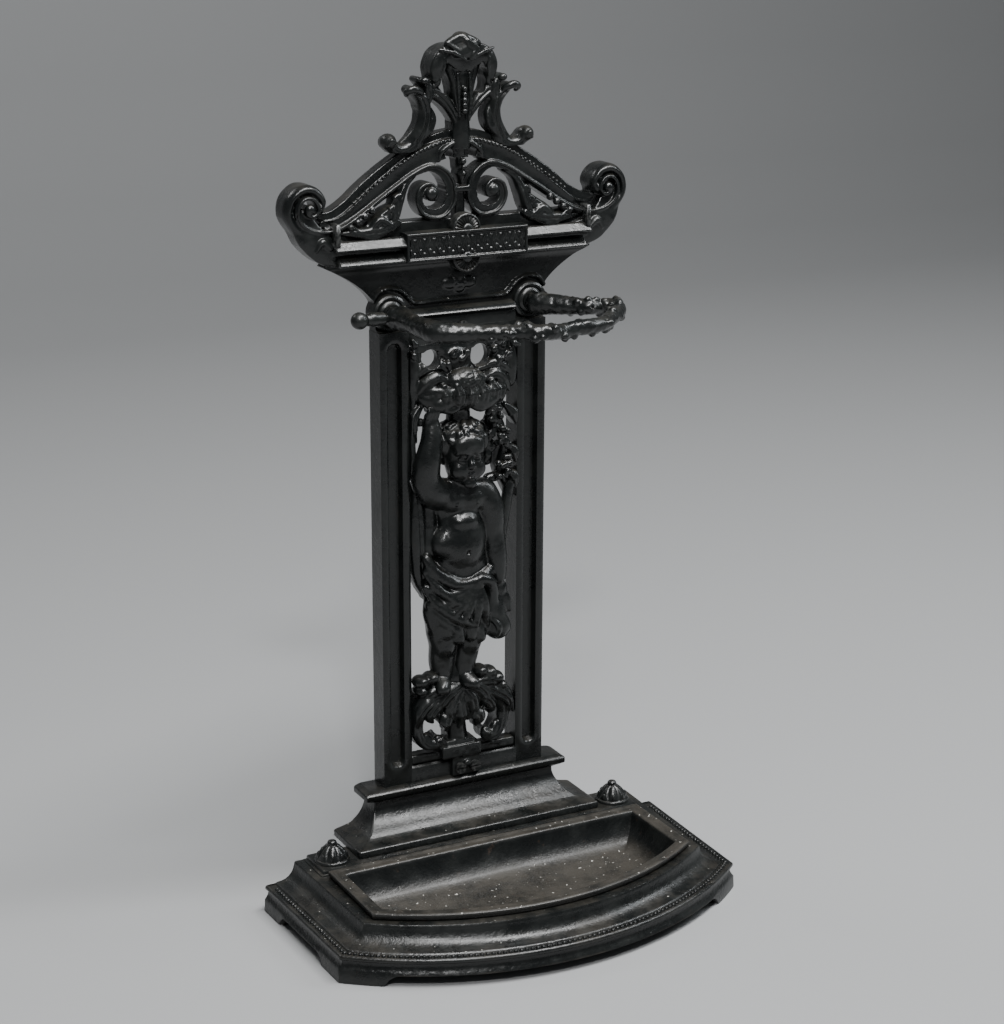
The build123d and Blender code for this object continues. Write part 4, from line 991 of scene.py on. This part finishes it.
def make_foliage():
    clay = Clay((-58.5, 90, 98), (58.5, 137, 560), 1.0)
    rng = np.random.default_rng(5)
    # rails, lug and ear
    clay.block((-57, 57), (112, 126), (118, 127), 1.5)
    clay.block((-57, 57), (113, 125), (528, 537), 1.5)
    clay.block((-16, 14), (104.4, 112), (100.4, 126), 1.2)
    clay.block((-27, 15), (103, 126), (120, 133), 1.6)
    clay.block((-22, 10), (106, 126), (132, 138), 1.6)
    clay.block((-9, 9), (115, 122), (524, 558), 1.2)
    clay.ball((-1, 103, 113), (4, 3, 4), 1)
    # pedestal scrolls
    for scroll in ([(-14, 190), (-32, 190), (-46, 180), (-52, 164), (-50, 147), (-42, 137), (-33, 138),
                    (-31, 147)], [(2, 188), (20, 188), (35, 178), (42, 164), (41, 148), (34, 136), (25, 134),
                                   (22, 143)]):
        clay.stroke(scroll, (8, 10, 9.5, 8, 7, 5.5, 4.5, 4), (104, 101, 100, 102, 104, 103, 102, 102), 6,
                    130, 2.0)
    clay.ball((-31, 108, 145), (6, 7, 6), 1.5)
    clay.ball((23, 108, 141), (6, 7, 6), 1.5)
    clay.stroke([(34, 188), (45, 180), (51, 168), (55, 155)], (4, 5, 4, 2), (106, 105, 107, 110), 4, 126, 1.2)
    clay.stroke([(-7, 200), (-8, 180), (-8, 160), (-6, 136)], (20, 15, 10, 11), (104, 103, 106, 106), 7, 130)
    leaves = [[(-6, 196), (-20, 190), (-30, 178), (-27, 168)], [(-6, 192), (-16, 180), (-18, 168),
                                                                (-12, 158)],
              [(-8, 190), (-8, 176), (-6, 162), (-9, 152)], [(-4, 192), (4, 180), (6, 168), (1, 158)],
              [(-4, 196), (12, 190), (20, 178), (16, 167)], [(-18, 170), (-24, 160), (-22, 150)],
              [(6, 168), (12, 160), (10, 150)]]
    for k, leaf in enumerate(leaves):
        clay.stroke(leaf, (4, 8, 7, 1.5), (101, 97 + k % 3, 98, 102), 5, 118, 1.8, blend=1.2)
    for leaf in ([(-30, 190), (-42, 183), (-52, 172), (-54, 158)],
                 [(-26, 184), (-36, 176), (-40, 167), (-36, 160)],
                 [(20, 188), (32, 182), (44, 172), (48, 158)], [(12, 182), (22, 175), (27, 166), (24, 160)],
                 [(-20, 196), (-36, 194), (-48, 186)], [(10, 196), (26, 196), (38, 188)]):
        clay.stroke(leaf, (4, 7, 6, 1.5), (101, 98, 98.5, 103), 5, 120, 2.0, blend=1.2)
    for x, z, r in ((-49, 205, 8), (-38, 207, 8), (-28, 203, 8), (-50, 196, 6), (15, 206, 8), (25, 203, 8),
                    (33, 196, 8), (38, 188, 6)):
        clay.ball((x, 109, z), (r, 10, r * 0.85), 2.5)
        clay.ball((x + 1, 102, z + 1), (r * 0.6, 4, r * 0.55), 1.5)
    for x, s in ((-35, -1), (25, 1)):
        clay.ball((x, 116, 151), (10.5, 30, 10), 1.0, remove=True)
        clay.limb([(x + s * 9, 110, 146), (x + s * 4, 109, 138), (x - s * 3, 108, 137),
                   (x - s * 4, 108, 143)], (4.5, 5, 4.6, 4), 1.5)
    # bowl with drapery rim, fruit and leaves
    clay.ball((-4, 113, 480), (26, 15, 9), 2)
    clay.limb([(-44, 111, 487), (-30, 106, 479), (-14, 104, 484), (4, 103, 482), (20, 105, 478),
               (35, 110, 483)], (6, 7.5, 5.5, 5.5, 7, 6), 2.4)
    clay.limb([(-42, 110, 493), (-28, 105, 491), (-10, 103, 489), (8, 103, 491), (24, 105, 487),
               (36, 110, 489)], (4.5, 5, 4, 4.5, 5, 4), 2)
    for x, z, r in ((-36, 486, 4), (-20, 478, 4), (-6, 490, 3), (10, 478, 4), (26, 486, 4), (16, 492, 3),
                    (-14, 492, 3)):
        clay.ball((x, 101 + abs(x + 4) * 0.12, z), (r * 1.6, r, r), 2.5)
    for x in (-37, -25, -12, 1, 14, 26, 35):
        y = 95.5 + 0.006 * (x + 3) ** 2
        clay.stroke([(x, 496), (x + 2, 489), (x + 1, 481), (x - 2, 473)], (3.5, 6, 5.5, 1.5),
                    (y + 1, y - 2.4, y - 1.6, y + 3), 3, 116, 1.5, blend=1.0)
    clay.limb([(-30, 106, 476), (-18, 101, 474), (-8, 103, 478)], (3.5, 4, 3), 1.4)
    clay.limb([(2, 103, 478), (12, 102, 473), (24, 106, 474)], (3, 4, 3.5), 1.4)
    clay.limb([(-4, 116, 474), (-4, 116, 456)], (11, 12), 3)
    clay.ball((-1, 110, 499), (21, 12, 12), 2)
    for k in range(170):
        a = rng.uniform(-1.3, 1.3)
        e = rng.uniform(-0.2, 1.45)
        c = (1 + 19.5 * math.sin(a) * math.cos(e), 110 - 12 * math.cos(a) * math.cos(e),
             498 + 12 * math.sin(e))
        clay.ball(c, (1.7, 1.7, 1.7), 0.5)
    low_leaf = {"front": (106, 103, 104, 108), "crown": 5, "groove": 1.5}
    high_leaf = {"front": (108, 106, 107, 110), "crown": 4, "groove": 1.4}
    for points, widths, shape in (
            ([(-18, 500), (-30, 504), (-42, 498), (-50, 488)], (4, 7, 7, 2), low_leaf),
            ([(-16, 508), (-26, 516), (-40, 514), (-52, 504)], (3, 6, 6, 2), high_leaf),
            ([(20, 498), (32, 502), (42, 494), (48, 484)], (4, 7, 6, 2), low_leaf),
            ([(16, 508), (30, 512), (42, 508), (52, 498)], (3, 5, 5, 2), high_leaf)):
        clay.stroke(points, widths, back=124, **shape)
    # lattice behind the top
    for x in (-35, 18):
        for a, b in (((x - 15, 532), (x, 509)), ((x + 15, 532), (x, 509)), ((x - 12, 512), (x - 20, 524)),
                     ((x + 12, 512), (x + 20, 524))):
            clay.stroke([a, b], (4.5, 4.5), 114, 2, 124)
    clay.stroke([(-20, 530), (-8, 516), (0, 508)], (8, 9, 8), (112, 110, 110), 4, 124)
    clay.stroke([(34, 534), (44, 522), (50, 508)], (7, 8, 6), (112, 110, 111), 4, 124)
    clay.stroke([(-56, 534), (-54, 520), (-54, 500), (-52, 484), (-54, 466)], (5, 5, 5, 4, 3),
                (112, 110, 109, 110, 112), 4, 124)
    for x, z in ((-52, 538), (-54, 528), (-12, 524), (-4, 520), (2, 526), (-18, 516), (30, 526), (40, 530),
                 (46, 520), (52, 530), (36, 516)):
        clay.ball((x, 109, z), (3.6, 4, 3.6), 1.0)
        clay.limb([(x, 108, z), (x + rng.uniform(-6, 6), 107, z + rng.uniform(-6, 6))], (3, 1.5), 0.8)
    # vine and grapes down the right side
    clay.stroke([(46, 498), (40, 480), (34, 466), (40, 448), (44, 428), (40, 408), (46, 392), (52, 376)],
                (4, 5, 5, 5, 5, 5, 4, 2), (111, 109, 108, 109, 109, 110, 112, 115), 4, 126)
    for cx, cz, count, spread in ((30, 463, 26, 9), (40, 440, 20, 8), (41, 412, 20, 8)):
        for k in range(count):
            x = cx + float(np.clip(rng.normal(0, spread * 0.55), -0.8 * spread, 0.8 * spread))
            z = cz + float(np.clip(rng.normal(0, spread * 0.8), -1.3 * spread, spread))
            clay.ball((min(x, 52), 106 + rng.uniform(-2, 3), z), (3.1, 3.1, 3.1), 0.5)
    for leaf in ([(44, 470), (52, 462), (56, 450)], [(46, 430), (53, 424), (56, 412)],
                 [(34, 450), (28, 444), (26, 434)], [(46, 404), (54, 398), (56, 386)]):
        clay.stroke(leaf, (3, 6, 1.5), (107, 105, 109), 4, 124, 1.4)
    # drapery tail and stems beside the figure that tie it to the frame
    clay.stroke([(-50, 398), (-48, 372), (-47, 335), (-45, 307), (-38, 288)], (4, 8, 9, 8, 4),
                (110, 108, 107, 108, 110), 5, 126, 1.6)
    clay.limb([(50, 114, 392), (46, 113, 370), (42, 112, 345), (39, 112, 315), (36, 110, 292)],
              (5, 5, 4, 3.6, 4), 2)
    clay.limb([(36, 114, 400), (28, 116, 398)], (5, 5), 2)
    clay.limb([(-58, 117, 462), (-44, 114, 462)], (4, 4), 2)
    clay.stroke([(-46, 478), (-53, 468), (-54, 455), (-50, 444)], (4, 6, 6, 2), (107, 105, 106, 109), 5, 124,
                 1.8)
    clay.stroke([(-54, 452), (-55.5, 430), (-53.5, 408)], (3.5, 5, 2.5), (108, 106, 109), 4, 124, 1.2)
    clay.limb([(30, 118, 458), (26, 118, 437), (27, 118, 416)], (5, 7, 5.5), 1.5)
    for x, z in ((23, 446), (29, 430), (24, 422)):
        clay.stroke([(x, z + 8), (x + 2, z), (x - 1, z - 8)], (2, 5, 1), (111, 109, 112), 3, 120, 1.2)
    # leaf mass round the fruit, with the two diamond openings over it
    for x, z, rx, rz in ((-24, 500, 13, 9), (26, 498, 13, 9), (-44, 494, 9, 8), (42, 492, 9, 8),
                         (-8, 522, 12, 10), (38, 522, 9, 12), (-52, 512, 6, 22), (52, 508, 6, 22)):
        clay.ball((x, 115, z), (rx, 7, rz), 2.5)
    clay.ball((-34, 118, 522), (8.5, 30, 9), 1.0, remove=True)
    clay.ball((18, 118, 521), (9, 30, 11), 1.0, remove=True)
    # trim the left edge to the width of the opening
    clay.values[:2] = 9
    clay.roughen(3.6, 0.2, 14)
    parts = Parts()
    clay.skin(parts)
    parts.put("figure_panel_foliage", BLACK, "stand", ["figure_panel"], sharp=0)


# ---------------------------------------------------------------- hoop, pins, rosettes

def make_hoop():
    clay = Clay((-96, -36, 546), (146, 116, 590), 1.0)
    z = HINGE_Z
    for x in (-BOSS_X, BOSS_X):
        clay.ball((x, HINGE_Y, z), (12.5, 12.5, 12.5), 1)
    clay.limb([(-73, 94, z), (-74, 78, z), (-74.5, 50, z), (-73, 36, z)], (9.5, 8.4, 8.6, 8.8), 2)
    clay.limb([(-73, 89, z), (-73.4, 85, z)], (10.6, 10.4), 1)
    clay.limb([(-73, 40, z), (-71, 24, z), (-58, 14, z), (-40, 7, z)], (9, 9, 8, 7), 3)
    branch = [(-42, 8, z), (-26, 0, z), (-10, -6, z), (8, -20, z + 1), (22, -22, z), (34, -16, z - 1),
              (48, -15, z), (62, -14, z), (78, -10, z), (92, 2, z), (106, 16, z + 1), (119, 30, z),
              (126, 44, z), (126, 58, z), (118, 62, z - 1), (106, 60, z), (98, 70, z), (88, 80, z),
              (76, 92, z)]
    radii = (7, 6.6, 6.2, 6.8, 6, 6.4, 6.0, 6.6, 6.0, 6.4, 6.8, 6.2, 7, 6.6, 6.4, 6.6, 7.4, 8.4, 9.5)
    clay.limb(branch, radii, 2)
    rng = np.random.default_rng(9)
    path = smooth_path(branch, 6)
    for k in range(5, len(path) - 8, 2):
        a = path[k]
        d = path[k + 1] - a
        d = d / np.linalg.norm(d)
        across = np.cross(d, (0, 0, 1))
        turn = rng.uniform(0, 6.3)
        off = across * math.cos(turn) + np.array([0, 0, 1]) * math.sin(turn)
        r = rng.uniform(2.6, 4.0)
        c = a + off * 5.4
        clay.limb([c - d * rng.uniform(2, 6), c + off * 1.4, c + d * rng.uniform(2, 6)], (1.2, r, 1.2), 0.7)
    for k in range(8, len(path) - 8, 9):
        a = path[k]
        turn = rng.uniform(0, 6.3)
        off = np.array([math.cos(turn) * 0.7, math.sin(turn) * 0.7, rng.uniform(-0.4, 0.8)])
        clay.limb([a + off * 5, a + off * 10], (3.6, 2.4), 1.2)
        clay.ball(a + off * 10.5, (1.4, 1.4, 1.4), 0.6, remove=True)
    # slots in the knuckles for the lugs of the bosses
    for x in (-BOSS_X, BOSS_X):
        clay.block((x - 6.2, x + 6.2), (95.8, 116), (546, 590), 0.3, 0.3, remove=True)
    clay.roughen(3.4, 0.55, 15)
    parts = Parts()
    clay.skin(parts)
    parts.put("hoop_detailed", BLACK, "hoop_arm", ["hoop"], sharp=0)


def turned_x(parts, y, z, profile, sides=28):
    """Turned shape on an axis along x: profile lists (x, radius)."""
    t = np.arange(sides) * 2 * math.pi / sides
    rings = [np.stack([np.full(sides, x), y + r * np.cos(t), z + r * np.sin(t)], 1) for x, r in profile]
    loft(parts, rings)


def make_pins():
    parts = Parts()
    ball = [(-112 - 8 * math.cos(a), 8 * math.sin(a)) for a in np.linspace(0.12, 2.5, 14)]
    neck = [(-105.0, 5.6), (-103.6, 5.6), (-101.5, 6.6), (-98.5, 6.8), (-96.5, 6.2), (-88, 5.6), (-85.5, 4.4),
            (-85, 4.0), (-62, 4.0)]
    turned_x(parts, HINGE_Y, HINGE_Z, ball + neck)
    parts.put("hinge_pin_left_detailed", BLACK, "hoop_arm", ["hinge_pin_left"])
    parts = Parts()
    turned_x(parts, HINGE_Y, HINGE_Z, [(61.5, 3.2), (62.2, 4), (84.6, 4), (85.6, 3.4), (86.2, 2.0)])
    parts.put("hinge_pin_right_detailed", BLACK, "hoop_arm", ["hinge_pin_right"])


def make_rosettes():
    for name, cx in (("rosette_left", -ROSETTE_X), ("rosette_right", ROSETTE_X)):
        parts = Parts()
        sides = 96
        t = np.arange(sides) * 2 * math.pi / sides
        profile = [(17, 50.1, 0), (17, 51.8, 0), (16.2, 52.8, 0), (14.8, 53.2, 0), (14.8, 53.8, 0.5),
                   (14.2, 56, 1.4), (12.6, 59.2, 2.0), (10.2, 62.2, 2.0), (7.6, 64.6, 1.4), (5.6, 65.8, 0.6),
                    (4.6, 66.2, 0), (4.7, 68.0, 0), (3.6, 69.8, 0), (1.4, 70.6, 0)]
        rings = []
        for r, z, wave in profile:
            petal = r - wave * (1 - np.abs(np.sin(4 * t)) ** 0.7)
            rings.append(np.stack([cx + petal * np.cos(t), ROSETTE_Y + petal * np.sin(t), np.full(sides, z)],
                                   1))
        loft(parts, rings)
        for k in range(8):
            a = (k + 0.5) * math.pi / 4
            dome(parts, (cx + 12.6 * math.cos(a), ROSETTE_Y + 12.6 * math.sin(a), 54.5), 2.6, 5.2, 10, 4)
        turned = np.arange(16) * 2 * math.pi / 16
        stud = [np.stack([cx + 3 * np.cos(turned), ROSETTE_Y + 3 * np.sin(turned), np.full(16, z)],
                         1) for z in (32, 52)]
        loft(parts, stud)
        parts.put(name + "_detailed", BASE_BLACK, "stand", [name], sharp=45)


# ---------------------------------------------------------------- put together

make_base()
make_tray()
make_apron()
make_frame()
make_crest()
make_finial()
make_plaque()
make_figure()
make_foliage()
make_hoop()
make_pins()
make_rosettes()

for name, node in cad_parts.items():
    if not node.hide_render:
        painted = name == "panel_screws"
        node.data.materials.clear()
        node.data.materials.append(BLACK if painted else STEEL)


# ---------------------------------------------------------------- floor, light, camera

def plain(name, colour, roughness):
    s = Shade(name)
    s.shader.inputs["Base Color"].default_value = (*colour, 1)
    s.shader.inputs["Roughness"].default_value = roughness
    return s.material


# floor that turns up into a backdrop far behind the stand
sweep = [(-9.0, 0.0), (2.6, 0.0), (3.0, 0.03), (3.4, 0.14), (3.8, 0.38), (4.05, 0.8), (4.15, 1.4),
         (4.15, 7.0)]
floor_mesh = bpy.data.meshes.new("floor")
corners = [(x, y, z) for y, z in sweep for x in (-11.0, 11.0)]
strips = [(2 * k, 2 * k + 1, 2 * k + 3, 2 * k + 2) for k in range(len(sweep) - 1)]
floor_mesh.from_pydata(corners, [], strips)
floor_mesh.polygons.foreach_set("use_smooth", [True] * len(strips))
floor_mesh.materials.append(plain("floor_paint", (0.33, 0.334, 0.337), 0.6))
floor = bpy.data.objects.new("floor", floor_mesh)
bpy.context.scene.collection.objects.link(floor)


def lamp(name, place, target, size, power, colour=(1, 1, 1)):
    data = bpy.data.lights.new(name, "AREA")
    data.shape = "RECTANGLE"
    data.size, data.size_y = size
    data.energy = power
    data.color = colour
    lamp_object = bpy.data.objects.new(name, data)
    bpy.context.scene.collection.objects.link(lamp_object)
    lamp_object.location = place
    direction = Vector(target) - Vector(place)
    lamp_object.rotation_euler = direction.to_track_quat("-Z", "Y").to_euler()


lamp("ceiling", (0.4, -0.85, 3.0), (0, 0.1, 0.4), (2.4, 0.6), 150)
lamp("glint", (-0.9, -1.9, 2.6), (0, 0, 0.45), (0.26, 0.26), 46)
lamp("side", (2.2, -0.6, 2.0), (0, 0, 0.4), (0.35, 1.2), 26, (0.93, 0.97, 1.0))
lamp("rear", (-1.5, 2.0, 2.6), (0, 0, 0.5), (1.1, 0.6), 14)

world = bpy.data.worlds.new("studio")
world.use_nodes = True
world.node_tree.nodes["Background"].inputs["Color"].default_value = (0.50, 0.52, 0.54, 1)
world.node_tree.nodes["Background"].inputs["Strength"].default_value = 0.30
bpy.context.scene.world = world

azimuth, elevation, roll = (math.radians(a) for a in (-27.95, 16.75, 0.255))
back = Vector((math.sin(azimuth) * math.cos(elevation), -math.cos(azimuth) * math.cos(elevation),
               math.sin(elevation)))
right = Vector((math.cos(azimuth), math.sin(azimuth), 0))
up = back.cross(right)
turned_right = right * math.cos(roll) + up * math.sin(roll)
turned_up = up * math.cos(roll) - right * math.sin(roll)
camera_data = bpy.data.cameras.new("camera")
camera_data.lens = 80.0
camera_data.sensor_width = 36.0
camera = bpy.data.objects.new("camera", camera_data)
bpy.context.scene.collection.objects.link(camera)
rotation = Matrix((turned_right, turned_up, back)).transposed().to_4x4()
camera.matrix_world = Matrix.Translation((-0.9454, -1.7481, 0.9969)) @ rotation
bpy.context.scene.camera = camera
